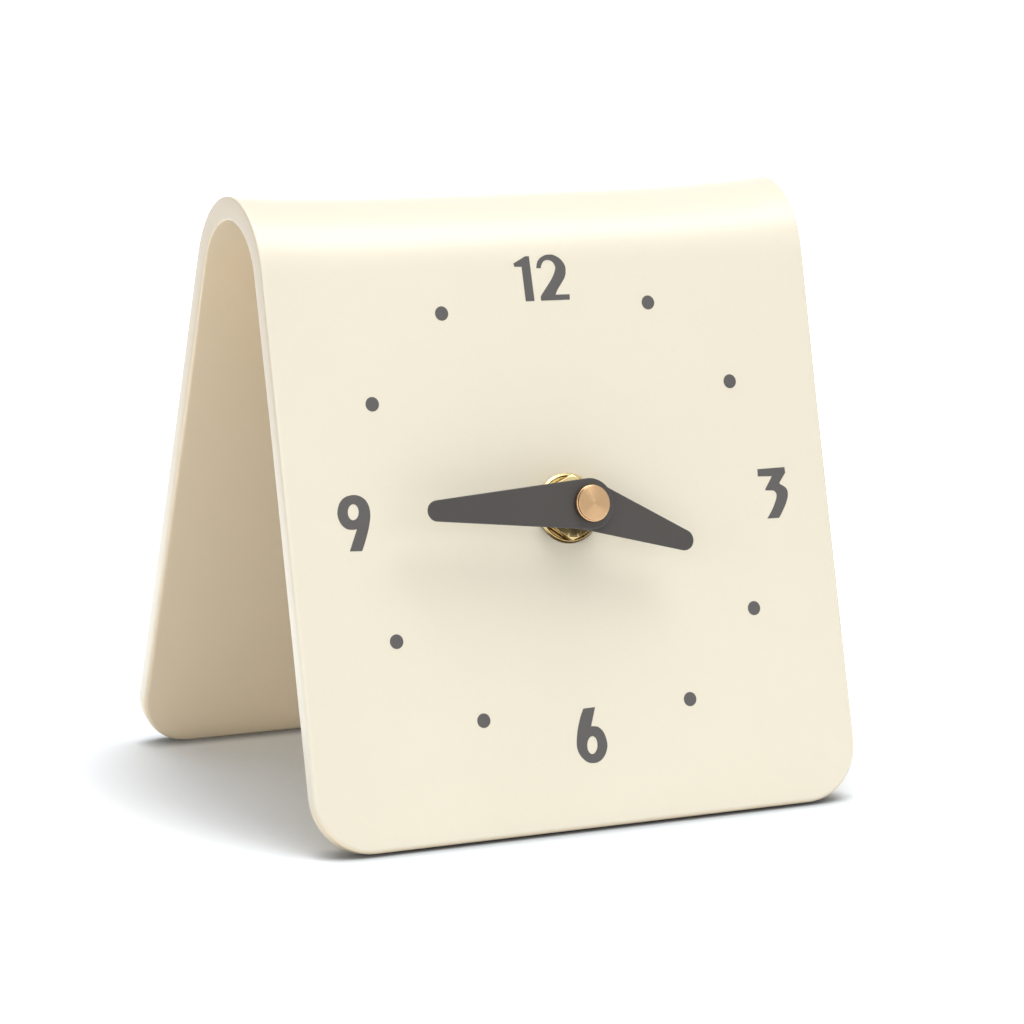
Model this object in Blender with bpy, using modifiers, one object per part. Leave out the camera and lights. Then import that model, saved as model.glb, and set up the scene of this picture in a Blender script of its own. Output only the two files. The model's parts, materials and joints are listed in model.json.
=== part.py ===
"""Desk clock: a sheet bent over a round crest, with a quartz movement behind its front leg.

Metres, +Z up. The dial faces -Y and the clock stands on Z = 0, centred on X = 0 and Y = 0.
The movement and the hands are drawn in the dial's own frame: origin on the dial's surface at the
hands' axis, X to the right, Y up the slope of the dial and Z out of the dial towards the viewer.
"""

import math

import bmesh
import bpy
from mathutils import Matrix, Vector

# Bent sheet
PLATE_WIDTH = 0.1340
PLATE_HEIGHT = 0.1332
PLATE_THICKNESS = 0.0044
LEG_TILT = math.radians(16.6)
BEND_RADIUS = 0.0184  # outside of the bend
FOOT_CORNER_RADIUS = 0.0132
EDGE_ROUNDING = 0.0010
FOOT_FLAT = 0.0012  # width of the flat each foot stands on
CREST_FLARE = 0.0012  # how far the bend's two ends curl outwards
DIAL_HEIGHT = 0.0701  # from the foot's edge to the hands' axis, along the sheet
BEND_ROWS = 14
FLARE_COLUMN_SHARES = (0.55, 0.72, 0.84, 0.93)  # of half the width
FLARE_POWER = 4

# Clearances
SEAT_GAP = 0.0003  # between faces that rest on each other
FIT_GAP = 0.0002  # between a pressed-on piece and its shaft
THREAD_GAP = 0.0003
RUNNING_GAP = 0.0001  # shaft in its bearing, radial
PIVOT_GAP = 0.00008
END_SHAKE = 0.0003
WHEEL_CLEARANCE = 0.0005  # between wheels that pass each other
OVERRUN = 0.0010  # how far a cutter reaches past what it cuts
WELD_DISTANCE = 0.000005

# Hardware on the dial
WASHER_DIAMETER = 0.0159
WASHER_THICKNESS = 0.0007
NUT_ACROSS_FLATS = 0.0127
NUT_THICKNESS = 0.0016
NUT_TURN = math.radians(6.3)  # clockwise, from a corner at twelve o'clock
NUT_CHAMFER_ANGLE = math.radians(30)
BUSH_DIAMETER = 0.0079
BUSH_STANDS_OUT = 0.0009  # past the nut
BUSH_FLANGE_DIAMETER = 0.0112
BUSH_FLANGE_THICKNESS = 0.0006
GASKET_DIAMETER = 0.0200
GASKET_THICKNESS = 0.0008

# Hands
HAND_THICKNESS = 0.0006
HAND_HUB_RADIUS = 0.0056
HAND_TIP_RADIUS = 0.0023
HOUR_HAND_REACH = 0.0272
MINUTE_HAND_REACH = 0.0391
HOUR_HAND_ANGLE = math.radians(112.4)  # clockwise from 12
MINUTE_HAND_ANGLE = math.radians(271.6)
HOUR_HAND_LOW = 0.0092  # underside of the hour hand above the dial
HAND_SPACING = 0.0009  # clear air between the two hands
CAP_NUT_DIAMETER = 0.0081
CAP_NUT_THICKNESS = 0.0014
CAP_NUT_CHAMFER = 0.0003
CAP_NUT_BORE_DEPTH = 0.0008

# Tube and shaft on the hands' axis
HOUR_TUBE_RADIUS = 0.0025
HOUR_TUBE_STANDS_OUT = 0.00015  # past the hour hand
MINUTE_SHAFT_RADIUS = 0.0017
SECONDS_BORE_DEPTH = 0.0025

# Movement case
CASE_TOP = 0.0280  # from the hands' axis, up the slope
CASE_DEPTH = 0.0160
CASE_WALL = 0.0014
CASE_FRONT_WALL = 0.0016
CASE_CORNER_RADIUS = 0.0040
BAY_CORNER_RADIUS = 0.0010
PARTITION_THICKNESS = 0.0012
COVER_THICKNESS = 0.0011
COVER_PIVOT_DEPTH = 0.0007
ARBOR_SOCKET_DEPTH = 0.0007
POST_RADIUS = 0.0012

# Battery, one AA cell, and its contacts
BATTERY_DIAMETER = 0.0140
BATTERY_LENGTH = 0.0505
BATTERY_NUB_RADIUS = 0.0027
BATTERY_NUB_LENGTH = 0.0014
BATTERY_RIM = 0.0008
BATTERY_SIDE_CLEARANCE = 0.0004
CONTACT_THICKNESS = 0.0004
CONTACT_PAD_WIDTH = 0.0090
CONTACT_LEG_WIDTH = 0.0012
CONTACT_WALL_CLEARANCE = 0.00065

# Gears: numbers of teeth, modules and the form of a tooth
CANNON_TEETH = 10
TRANSFER_TEETH = 30
TRANSFER_PINION_TEETH = 8
HOUR_TEETH = 32
CENTRE_TEETH = 64
THIRD_PINION_TEETH = 8
THIRD_TEETH = 60
SECONDS_PINION_TEETH = 8
SECONDS_TEETH = 60
INTERMEDIATE_PINION_TEETH = 10
INTERMEDIATE_TEETH = 40
ROTOR_TEETH = 8
MOTION_MODULE = 0.00050
CENTRE_MODULE = 0.00026
SECONDS_MODULE = 0.00027
ROTOR_MODULE = 0.00030
ADDENDUM_SHARE = 0.80  # of the module
DEDENDUM_SHARE = 1.10
TIP_WIDTH_SHARE = 0.22  # of the pitch
ROOT_WIDTH_SHARE = 0.62

# Wheels and arbors
HOUR_WHEEL_THICKNESS = 0.0010
TRANSFER_WHEEL_THICKNESS = 0.0008
TRAIN_WHEEL_THICKNESS = 0.0007
PINION_OVERLAP = 0.0001  # how far a pinion stands proud of its mate on each side
PIVOT_RADIUS = 0.0005
ARBOR_RADIUS = 0.0007
SETTING_ARBOR_RADIUS = 0.00075
CLUTCH_SPRING_THICKNESS = 0.0002
CLUTCH_SPRING_RADIUS = 0.0038
TRANSFER_DIRECTION = math.radians(115)  # round the hands' axis, from the dial's X
THIRD_DIRECTION = math.radians(190)
INTERMEDIATE_DIRECTION = math.radians(20)
ROTOR_DIRECTION = math.radians(80)  # round the intermediate wheel

# Train plate, measured from the hands' axis
TRAIN_PLATE_THICKNESS = 0.0008
TRAIN_PLATE_LEFT = 0.0195
TRAIN_PLATE_RIGHT = 0.0172
TRAIN_PLATE_BOTTOM = 0.0095
TRAIN_PLATE_TOP = 0.0180
TRAIN_PLATE_CORNER = 0.0020
TRAIN_PLATE_CLEARANCE = 0.0011  # to the wall between the bays
TRAIN_POST_INSET = 0.0026

# Motor
MAGNET_RADIUS = 0.0030
MAGNET_LENGTH = 0.0024
STATOR_THICKNESS = 0.0008
STATOR_BORE_GAP = 0.0006
STATOR_POLE_WIDTH = 0.0012
STATOR_NECK = 0.0008  # between the rotor's bore and the spine
STATOR_SPINE_WIDTH = 0.0040
STATOR_ARM_WIDTH = 0.0035
COIL_LENGTH = 0.0174
COIL_MIDDLE_HEIGHT = 0.0055  # above the hands' axis, up the slope
COIL_FLANGE_RADIUS = 0.0037
COIL_FLANGE_THICKNESS = 0.0010
COIL_TUBE_RADIUS = 0.0022
COIL_BORE_RADIUS = 0.0019
COIL_WINDING_RADIUS = 0.0034
COIL_WALL_CLEARANCE = 0.0003
CORE_WIDTH = 0.0030
CORE_THICKNESS = 0.0010

# Circuit board
BOARD_THICKNESS = 0.0008
BOARD_HEIGHT = 0.0070
BOARD_WALL_CLEARANCE = 0.0008
BOARD_COVER_CLEARANCE = 0.0018
CHIP_RADIUS = 0.0026
CHIP_HEIGHT = 0.0011
CRYSTAL_RADIUS = 0.0010
CRYSTAL_LENGTH = 0.0060
BOARD_POST_SHARE = 0.80  # places along half of the board's length
CHIP_SHARE = -0.18
CRYSTAL_SHARE = -0.55

# Setting knob
KNOB_RADIUS = 0.0056
KNOB_LENGTH = 0.0034
KNOB_RIDGES = 20
KNOB_RIDGE_DEPTH = 0.0004
KNOB_BORE_DEPTH = 0.0022
KNOB_RIDGE_TOP_SHARE = 0.35  # of a ridge's pitch
KNOB_RIDGE_FOOT_SHARE = 0.65

# Facets
ROUND_STEPS = 40
SMALL_STEPS = 20
PIVOT_STEPS = 12
CORNER_STEPS = 6
FOOT_CORNER_STEPS = 10
ROUNDING_STEPS = 3

# Sheet: sizes that follow from the ones above
BEND_MID_RADIUS = BEND_RADIUS - PLATE_THICKNESS / 2
BEND_HALF_ANGLE = math.pi / 2 - LEG_TILT
BEND_CENTRE_HEIGHT = PLATE_HEIGHT - BEND_RADIUS
FOOT_RIM_RADIUS = BEND_MID_RADIUS - PLATE_THICKNESS / 2 + EDGE_ROUNDING
FOOT_RIM_HEIGHT = math.sqrt(EDGE_ROUNDING**2 - (FOOT_FLAT / 2) ** 2)
LEG_DROP = BEND_CENTRE_HEIGHT + FOOT_RIM_RADIUS * math.sin(LEG_TILT) - FOOT_RIM_HEIGHT
LEG_LENGTH = EDGE_ROUNDING + LEG_DROP / math.cos(LEG_TILT)
BEND_REACH = BEND_MID_RADIUS * BEND_HALF_ANGLE
BLANK_HALF_LENGTH = BEND_REACH + LEG_LENGTH
DIAL_ALONG = DIAL_HEIGHT - BLANK_HALF_LENGTH

# Stack in front of the dial, heights above its surface
BUSH_HOLE_RADIUS = BUSH_DIAMETER / 2 + THREAD_GAP
WASHER_LOW = SEAT_GAP
WASHER_TOP = WASHER_LOW + WASHER_THICKNESS
NUT_LOW = WASHER_TOP + SEAT_GAP
NUT_TOP = NUT_LOW + NUT_THICKNESS
BUSH_TOP = NUT_TOP + BUSH_STANDS_OUT
BUSH_BORE_RADIUS = HOUR_TUBE_RADIUS + RUNNING_GAP
HOUR_HAND_TOP = HOUR_HAND_LOW + HAND_THICKNESS
HOUR_TUBE_TOP = HOUR_HAND_TOP + HOUR_TUBE_STANDS_OUT
HOUR_TUBE_BORE_RADIUS = MINUTE_SHAFT_RADIUS + RUNNING_GAP
MINUTE_HAND_LOW = HOUR_HAND_TOP + HAND_SPACING
MINUTE_HAND_TOP = MINUTE_HAND_LOW + HAND_THICKNESS
CAP_NUT_LOW = MINUTE_HAND_TOP + SEAT_GAP
CAP_NUT_TOP = CAP_NUT_LOW + CAP_NUT_THICKNESS
MINUTE_SHAFT_TOP = CAP_NUT_LOW + CAP_NUT_BORE_DEPTH - SEAT_GAP

# Case, behind the sheet
GASKET_TOP = -PLATE_THICKNESS - SEAT_GAP
GASKET_LOW = GASKET_TOP - GASKET_THICKNESS
CASE_FRONT = GASKET_LOW - SEAT_GAP
CASE_BACK = CASE_FRONT - CASE_DEPTH
BAY_FLOOR = CASE_FRONT - CASE_FRONT_WALL
GEAR_BAY_TOP = CASE_TOP - CASE_WALL
GEAR_BAY_BOTTOM = -TRAIN_PLATE_BOTTOM - TRAIN_PLATE_CLEARANCE
COVER_STEP = GEAR_BAY_BOTTOM - PARTITION_THICKNESS / 2
BATTERY_BAY_TOP = GEAR_BAY_BOTTOM - PARTITION_THICKNESS
BATTERY_BAY_BOTTOM = BATTERY_BAY_TOP - BATTERY_DIAMETER - 2 * BATTERY_SIDE_CLEARANCE
CASE_BOTTOM = BATTERY_BAY_BOTTOM - CASE_WALL
COVER_FRONT = CASE_BACK + COVER_THICKNESS
COVER_SEAT = COVER_FRONT + SEAT_GAP
BUSH_FLANGE_TOP = BAY_FLOOR + BUSH_FLANGE_THICKNESS
POST_FOOT = CASE_FRONT - CASE_FRONT_WALL / 2

# Planes of the wheels, from front to back
HOUR_WHEEL_TOP = BAY_FLOOR - SEAT_GAP
HOUR_WHEEL_LOW = HOUR_WHEEL_TOP - HOUR_WHEEL_THICKNESS
CANNON_TOP = HOUR_WHEEL_LOW - WHEEL_CLEARANCE
TRANSFER_TOP = CANNON_TOP - 2 * PINION_OVERLAP
TRANSFER_LOW = TRANSFER_TOP - TRANSFER_WHEEL_THICKNESS
CANNON_LOW = TRANSFER_LOW - 2 * PINION_OVERLAP
TRAIN_PLATE_FRONT = CANNON_LOW - 2 * END_SHAKE
TRAIN_PLATE_BACK = TRAIN_PLATE_FRONT - TRAIN_PLATE_THICKNESS
CENTRE_TOP = TRAIN_PLATE_BACK - WHEEL_CLEARANCE
CENTRE_LOW = CENTRE_TOP - TRAIN_WHEEL_THICKNESS
SPRING_TOP = CENTRE_LOW - END_SHAKE / 2
SPRING_LOW = SPRING_TOP - CLUTCH_SPRING_THICKNESS
MINUTE_SHAFT_LOW = SPRING_LOW - END_SHAKE / 2
SECONDS_PINION_TOP = MINUTE_SHAFT_LOW - END_SHAKE
THIRD_TOP = SECONDS_PINION_TOP - PINION_OVERLAP
THIRD_LOW = THIRD_TOP - TRAIN_WHEEL_THICKNESS
SECONDS_TOP = THIRD_LOW - WHEEL_CLEARANCE
SECONDS_LOW = SECONDS_TOP - TRAIN_WHEEL_THICKNESS
INTERMEDIATE_TOP = SECONDS_LOW - WHEEL_CLEARANCE
INTERMEDIATE_LOW = INTERMEDIATE_TOP - TRAIN_WHEEL_THICKNESS
PIVOT_FRONT = TRAIN_PLATE_FRONT - END_SHAKE / 2
SHOULDER_FRONT = TRAIN_PLATE_BACK - END_SHAKE
SHOULDER_BACK = COVER_FRONT + END_SHAKE
PIVOT_BACK = COVER_FRONT - COVER_PIVOT_DEPTH + END_SHAKE / 2
STATOR_TOP = CENTRE_LOW - WHEEL_CLEARANCE
STATOR_LOW = STATOR_TOP - STATOR_THICKNESS
MAGNET_TOP = (STATOR_TOP + STATOR_LOW + MAGNET_LENGTH) / 2
MAGNET_LOW = MAGNET_TOP - MAGNET_LENGTH
CORE_TOP = STATOR_LOW - SEAT_GAP
CORE_LOW = CORE_TOP - CORE_THICKNESS
COIL_AXIS_DEPTH = (CORE_TOP + CORE_LOW) / 2
BOARD_LOW = COVER_FRONT + BOARD_COVER_CLEARANCE
BOARD_TOP = BOARD_LOW + BOARD_THICKNESS
KNOB_TOP = CASE_BACK - END_SHAKE
KNOB_LOW = KNOB_TOP - KNOB_LENGTH

# Arbors: each pair of wheels sets the distance between its two
TRANSFER_DISTANCE = (CANNON_TEETH + TRANSFER_TEETH) * MOTION_MODULE / 2
THIRD_DISTANCE = (THIRD_PINION_TEETH + CENTRE_TEETH) * CENTRE_MODULE / 2
INTERMEDIATE_DISTANCE = (INTERMEDIATE_PINION_TEETH + SECONDS_TEETH) * SECONDS_MODULE / 2
ROTOR_DISTANCE = (ROTOR_TEETH + INTERMEDIATE_TEETH) * ROTOR_MODULE / 2
HOUR_MODULE = 2 * TRANSFER_DISTANCE / (TRANSFER_PINION_TEETH + HOUR_TEETH)
THIRD_MODULE = 2 * THIRD_DISTANCE / (SECONDS_PINION_TEETH + THIRD_TEETH)
HANDS_AXIS = Vector((0.0, 0.0, 0.0))
TRANSFER_AXIS = Matrix.Rotation(TRANSFER_DIRECTION, 3, "Z") @ Vector((TRANSFER_DISTANCE, 0.0, 0.0))
THIRD_AXIS = Matrix.Rotation(THIRD_DIRECTION, 3, "Z") @ Vector((THIRD_DISTANCE, 0.0, 0.0))
INTERMEDIATE_AXIS = Matrix.Rotation(INTERMEDIATE_DIRECTION, 3, "Z") @ Vector(
    (INTERMEDIATE_DISTANCE, 0.0, 0.0)
)
ROTOR_AXIS = INTERMEDIATE_AXIS + Matrix.Rotation(ROTOR_DIRECTION, 3, "Z") @ Vector(
    (ROTOR_DISTANCE, 0.0, 0.0)
)

# Places in the dial's plane
STATOR_BORE_RADIUS = MAGNET_RADIUS + STATOR_BORE_GAP
STATOR_SPINE_LEFT = ROTOR_AXIS.x + STATOR_BORE_RADIUS + STATOR_NECK
STATOR_SPINE_RIGHT = STATOR_SPINE_LEFT + STATOR_SPINE_WIDTH
COIL_AXIS_X = STATOR_SPINE_RIGHT + SEAT_GAP + COIL_FLANGE_RADIUS
STATOR_ARM_RIGHT = COIL_AXIS_X + CORE_WIDTH
STATOR_ARM_REACH = COIL_LENGTH / 2 + SEAT_GAP + STATOR_ARM_WIDTH
STATOR_POST_X = TRAIN_PLATE_RIGHT + 2 * POST_RADIUS
BATTERY_AXIS_Y = BATTERY_BAY_TOP - BATTERY_SIDE_CLEARANCE - BATTERY_DIAMETER / 2
BATTERY_AXIS_DEPTH = BAY_FLOOR - SEAT_GAP - BATTERY_DIAMETER / 2
CONTACT_INSIDE = BATTERY_LENGTH / 2 + SEAT_GAP
CONTACT_OUTSIDE = CONTACT_INSIDE + CONTACT_THICKNESS
CONTACT_LEG_FRONT = COIL_AXIS_DEPTH - COIL_FLANGE_RADIUS - SEAT_GAP
CONTACT_BACK = CONTACT_LEG_FRONT - CONTACT_LEG_WIDTH
BAY_HALF_WIDTH = max(
    CONTACT_OUTSIDE + CONTACT_WALL_CLEARANCE,
    COIL_AXIS_X + COIL_FLANGE_RADIUS + COIL_WALL_CLEARANCE,
)
CASE_HALF_WIDTH = BAY_HALF_WIDTH + CASE_WALL
BOARD_HALF_LENGTH = CONTACT_INSIDE - SEAT_GAP
BOARD_EDGE_TOP = GEAR_BAY_TOP - BOARD_WALL_CLEARANCE
BOARD_EDGE_BOTTOM = BOARD_EDGE_TOP - BOARD_HEIGHT
BOARD_MIDDLE = (BOARD_EDGE_TOP + BOARD_EDGE_BOTTOM) / 2


def clear_scene():
    for obj in list(bpy.data.objects):
        bpy.data.objects.remove(obj, do_unlink=True)


def new_collection(name):
    collection = bpy.data.collections.new(name)
    bpy.context.scene.collection.children.link(collection)
    return collection


def linear(share):
    """A display colour's share of full light as the shader's linear value."""
    return share / 12.92 if share <= 0.04045 else ((share + 0.055) / 1.055) ** 2.4


def material(name, display_colour, roughness, metallic=0.0):
    made = bpy.data.materials.new(name)
    made.use_nodes = True
    shader = made.node_tree.nodes["Principled BSDF"]
    shader.inputs["Base Color"].default_value = (*map(linear, display_colour), 1.0)
    shader.inputs["Roughness"].default_value = roughness
    shader.inputs["Metallic"].default_value = metallic
    return made


def make_materials():
    return {
        "cream": material("cream lacquer", (0.95, 0.92, 0.84), 0.35),
        "brass": material("brass", (0.80, 0.65, 0.38), 0.25, 1.0),
        "copper": material("copper plate", (0.85, 0.69, 0.53), 0.30, 1.0),
        "charcoal": material("charcoal lacquer", (0.34, 0.33, 0.32), 0.50),
        "rubber": material("black rubber", (0.09, 0.09, 0.09), 0.80),
        "case": material("black moulding", (0.11, 0.11, 0.12), 0.55),
        "cover": material("grey moulding", (0.30, 0.31, 0.32), 0.50),
        "acetal": material("white acetal", (0.90, 0.89, 0.85), 0.40),
        "steel": material("bright steel", (0.72, 0.72, 0.72), 0.30, 1.0),
        "magnet": material("magnet", (0.20, 0.20, 0.21), 0.45, 0.8),
        "bobbin": material("natural nylon", (0.86, 0.83, 0.74), 0.45),
        "winding": material("copper wire", (0.75, 0.42, 0.26), 0.35, 1.0),
        "board": material("circuit board", (0.18, 0.36, 0.22), 0.40),
        "resin": material("black resin", (0.06, 0.06, 0.06), 0.30),
        "sleeve": material("battery sleeve", (0.22, 0.27, 0.33), 0.35),
    }


def add_object(name, mesh, finish, location=HANDS_AXIS):
    """A piece of the clock, placed in the dial's frame."""
    obj = bpy.data.objects.new(name, mesh)
    parts.objects.link(obj)
    obj.parent = dial_frame
    obj.location = location
    mesh.materials.clear()
    mesh.materials.append(finishes[finish])
    mesh.shade_smooth()
    mesh.set_sharp_from_angle(angle=math.radians(30))
    return obj


def add_cutter(mesh, location=HANDS_AXIS):
    obj = bpy.data.objects.new(mesh.name, mesh)
    cutters.objects.link(obj)
    obj.parent = dial_frame
    obj.location = location
    obj.hide_render = True
    obj.display_type = "WIRE"
    return obj


def boolean(target, other, operation):
    modifier = target.modifiers.new(f"{operation.lower()} {other.name}", "BOOLEAN")
    modifier.operation = operation
    modifier.solver = "EXACT"
    modifier.object = other


def cut(target, mesh, location=HANDS_AXIS):
    boolean(target, add_cutter(mesh, location), "DIFFERENCE")


def join(target, mesh, location=HANDS_AXIS):
    boolean(target, add_cutter(mesh, location), "UNION")


def arc(centre, radius, start, end, steps):
    """Points along an arc, both ends included."""
    angles = [start + (end - start) * i / steps for i in range(steps + 1)]
    return [(centre[0] + radius * math.cos(a), centre[1] + radius * math.sin(a)) for a in angles]


def circle(radius, steps=ROUND_STEPS, centre=HANDS_AXIS):
    return arc(centre, radius, 0.0, 2 * math.pi, steps)[:-1]


def rounded_rectangle(left, right, bottom, top, radius, steps=CORNER_STEPS):
    corners = (
        (right - radius, top - radius),
        (left + radius, top - radius),
        (left + radius, bottom + radius),
        (right - radius, bottom + radius),
    )
    outline = []
    for i, corner in enumerate(corners):
        outline += arc(corner, radius, i * math.pi / 2, (i + 1) * math.pi / 2, steps)
    return outline


def toothed(count, tip_radius, root_radius, tip_share, root_share, phase=0.0):
    """Straight-sided teeth of four points each; phase is the angle of one tooth's middle."""
    pitch = 2 * math.pi / count
    corners = (
        (root_radius, -root_share / 2),
        (tip_radius, -tip_share / 2),
        (tip_radius, tip_share / 2),
        (root_radius, root_share / 2),
    )
    return [
        (radius * math.cos(phase + pitch * turns), radius * math.sin(phase + pitch * turns))
        for tooth in range(count)
        for radius, turns in ((radius, tooth + share) for radius, share in corners)
    ]


def gear(name, teeth, module, phase, low, high, bore=0.0):
    pitch_radius = teeth * module / 2
    tip_radius = pitch_radius + ADDENDUM_SHARE * module
    root_radius = pitch_radius - DEDENDUM_SHARE * module
    outlines = [toothed(teeth, tip_radius, root_radius, TIP_WIDTH_SHARE, ROOT_WIDTH_SHARE, phase)]
    if bore:
        outlines.append(circle(bore, SMALL_STEPS))
    return slab(name, outlines, low, high)


def meshed_phase(phase, teeth, direction, mate_teeth):
    """Phase of a mate that lies along direction, so that its gap takes the first gear's tooth."""
    return direction + math.pi - ((phase - direction) * teeth + math.pi) / mate_teeth


def slab(name, outlines, low, high, rounding=0.0):
    """A flat outline with its holes, between two heights. A rounding grows the outline by itself."""
    curve = bpy.data.curves.new(name, "CURVE")
    curve.dimensions = "2D"
    curve.fill_mode = "BOTH"
    curve.extrude = (high - low) / 2 - rounding
    curve.bevel_depth = rounding
    curve.bevel_resolution = ROUNDING_STEPS - 1
    for outline in outlines:
        spline = curve.splines.new("POLY")
        spline.points.add(len(outline) - 1)
        spline.use_cyclic_u = True
        for point, (x, y) in zip(spline.points, outline):
            point.co = (x, y, 0.0, 1.0)
    holder = bpy.data.objects.new(name, curve)
    bpy.context.scene.collection.objects.link(holder)
    graph = bpy.context.evaluated_depsgraph_get()
    mesh = bpy.data.meshes.new_from_object(holder.evaluated_get(graph))
    mesh.name = name
    bpy.data.objects.remove(holder, do_unlink=True)
    bpy.data.curves.remove(curve)
    shape = bmesh.new()
    shape.from_mesh(mesh)
    bmesh.ops.remove_doubles(shape, verts=shape.verts, dist=WELD_DISTANCE)
    bmesh.ops.translate(shape, verts=shape.verts, vec=(0.0, 0.0, (high + low) / 2))
    bmesh.ops.recalc_face_normals(shape, faces=shape.faces)
    shape.to_mesh(mesh)
    shape.free()
    return mesh


def mesh_from(name, shape):
    mesh = bpy.data.meshes.new(name)
    shape.to_mesh(mesh)
    shape.free()
    return mesh


def box(name, left, right, bottom, top, low, high):
    shape = bmesh.new()
    middle = Vector(((left + right) / 2, (bottom + top) / 2, (low + high) / 2))
    size = Matrix.Diagonal((right - left, top - bottom, high - low, 1.0))
    bmesh.ops.create_cube(shape, size=1.0, matrix=Matrix.Translation(middle) @ size)
    return mesh_from(name, shape)


def cylinder(name, radius, low, high, steps=SMALL_STEPS):
    shape = bmesh.new()
    middle = Matrix.Translation((0.0, 0.0, (low + high) / 2))
    bmesh.ops.create_cone(
        shape,
        cap_ends=True,
        segments=steps,
        radius1=radius,
        radius2=radius,
        depth=high - low,
        matrix=middle,
    )
    return mesh_from(name, shape)


def profile_mesh(name, profile):
    """A section of (radius, height) points, down the outer side. It closes on itself off the axis."""
    closes = all(radius > 0 for radius, _ in profile)
    edges = [(i, i + 1) for i in range(len(profile) - 1)]
    if closes:
        edges.append((len(profile) - 1, 0))
    mesh = bpy.data.meshes.new(name)
    mesh.from_pydata([(radius, 0.0, height) for radius, height in profile], edges, [])
    return mesh


def turn(obj, steps):
    modifier = obj.modifiers.new("turned", "SCREW")
    modifier.axis = "Z"
    modifier.steps = steps
    modifier.render_steps = steps
    modifier.use_merge_vertices = True
    modifier.merge_threshold = WELD_DISTANCE
    modifier.use_smooth_shade = True


def turned(name, profile, finish, steps=ROUND_STEPS, location=HANDS_AXIS):
    obj = add_object(name, profile_mesh(name, profile), finish, location)
    turn(obj, steps)
    return obj


def ring(outer, inner, low, high):
    return [(inner, high), (outer, high), (outer, low), (inner, low)]


# Bent sheet


def bent(across, along, out):
    """Where a point of the flat blank goes: an arc over the crest, then a straight leg each way."""
    side = math.copysign(1.0, along)
    angle = min(abs(along) / BEND_MID_RADIUS, BEND_HALF_ANGLE)
    straight = abs(along) - BEND_MID_RADIUS * angle
    fade = math.cos(math.pi / 2 * angle / BEND_HALF_ANGLE) ** 2
    curl = CREST_FLARE * abs(2 * across / PLATE_WIDTH) ** FLARE_POWER * fade
    radius = BEND_MID_RADIUS + out + curl
    return Vector(
        (
            across,
            side * (radius * math.sin(angle) + straight * math.cos(BEND_HALF_ANGLE)),
            BEND_CENTRE_HEIGHT + radius * math.cos(angle) - straight * math.sin(BEND_HALF_ANGLE),
        )
    )


def make_blank():
    """The flat sheet, sliced into rows over the bend and columns where its ends curl."""
    half_width = PLATE_WIDTH / 2 - EDGE_ROUNDING
    half_length = BLANK_HALF_LENGTH - EDGE_ROUNDING
    corner = FOOT_CORNER_RADIUS - EDGE_ROUNDING
    rim = rounded_rectangle(
        -half_width, half_width, -half_length, half_length, corner, FOOT_CORNER_STEPS
    )
    half = PLATE_THICKNESS / 2
    mesh = slab("bent_plate", [rim], -half, half, EDGE_ROUNDING)
    blank = bmesh.new()
    blank.from_mesh(mesh)
    bmesh.ops.dissolve_limit(
        blank, angle_limit=math.radians(1), verts=blank.verts, edges=blank.edges
    )
    rows = [BEND_REACH * (2 * i / BEND_ROWS - 1) for i in range(BEND_ROWS + 1)]
    columns = [side * share * PLATE_WIDTH / 2 for share in FLARE_COLUMN_SHARES for side in (-1, 1)]
    slices = [((0.0, row, 0.0), (0.0, 1.0, 0.0)) for row in rows]
    slices += [((column, 0.0, 0.0), (1.0, 0.0, 0.0)) for column in columns]
    for point, normal in slices:
        everything = blank.verts[:] + blank.edges[:] + blank.faces[:]
        bmesh.ops.bisect_plane(
            blank, geom=everything, dist=WELD_DISTANCE, plane_co=point, plane_no=normal
        )
    bmesh.ops.triangulate(blank, faces=blank.faces)
    blank.to_mesh(mesh)
    blank.free()
    return mesh


def make_bent_plate():
    mesh = make_blank()
    for vertex in mesh.vertices:
        vertex.co = bent(*vertex.co)
    plate = add_object("bent_plate", mesh, "cream")
    plate.parent = None
    floor = add_cutter(
        box(
            "floor_cut",
            -PLATE_WIDTH,
            PLATE_WIDTH,
            -PLATE_HEIGHT,
            PLATE_HEIGHT,
            -PLATE_THICKNESS,
            0.0,
        )
    )
    floor.parent = None
    boolean(plate, floor, "DIFFERENCE")
    back = -PLATE_THICKNESS - OVERRUN
    cut(plate, cylinder("bush_hole", BUSH_HOLE_RADIUS, back, OVERRUN, ROUND_STEPS))


# Hardware that clamps the movement to the sheet


def make_washer():
    turned("washer", ring(WASHER_DIAMETER / 2, BUSH_HOLE_RADIUS, WASHER_LOW, WASHER_TOP), "brass")


def make_gasket():
    section = ring(GASKET_DIAMETER / 2, BUSH_HOLE_RADIUS, GASKET_LOW, GASKET_TOP)
    turned("rubber_gasket", section, "rubber")


def make_hex_nut():
    """A hexagon, inside a double cone that takes its corners off."""
    flat_radius = NUT_ACROSS_FLATS / 2
    hexagon = circle(flat_radius / math.cos(math.pi / 6), steps=6)
    bore = circle(BUSH_DIAMETER / 2 + FIT_GAP)
    nut = add_object("hex_nut", slab("hex_nut", [hexagon, bore], NUT_LOW, NUT_TOP), "brass")
    nut.rotation_euler = (0.0, 0.0, math.pi / 6 - NUT_TURN)
    slope = math.tan(NUT_CHAMFER_ANGLE)
    middle = (NUT_LOW + NUT_TOP) / 2
    widest = flat_radius + NUT_THICKNESS / 2 / slope
    cones = [(0.0, middle + widest * slope), (widest, middle), (0.0, middle - widest * slope)]
    chamfer = add_cutter(profile_mesh("nut_chamfer", cones))
    turn(chamfer, ROUND_STEPS)
    boolean(nut, chamfer, "INTERSECT")


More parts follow.
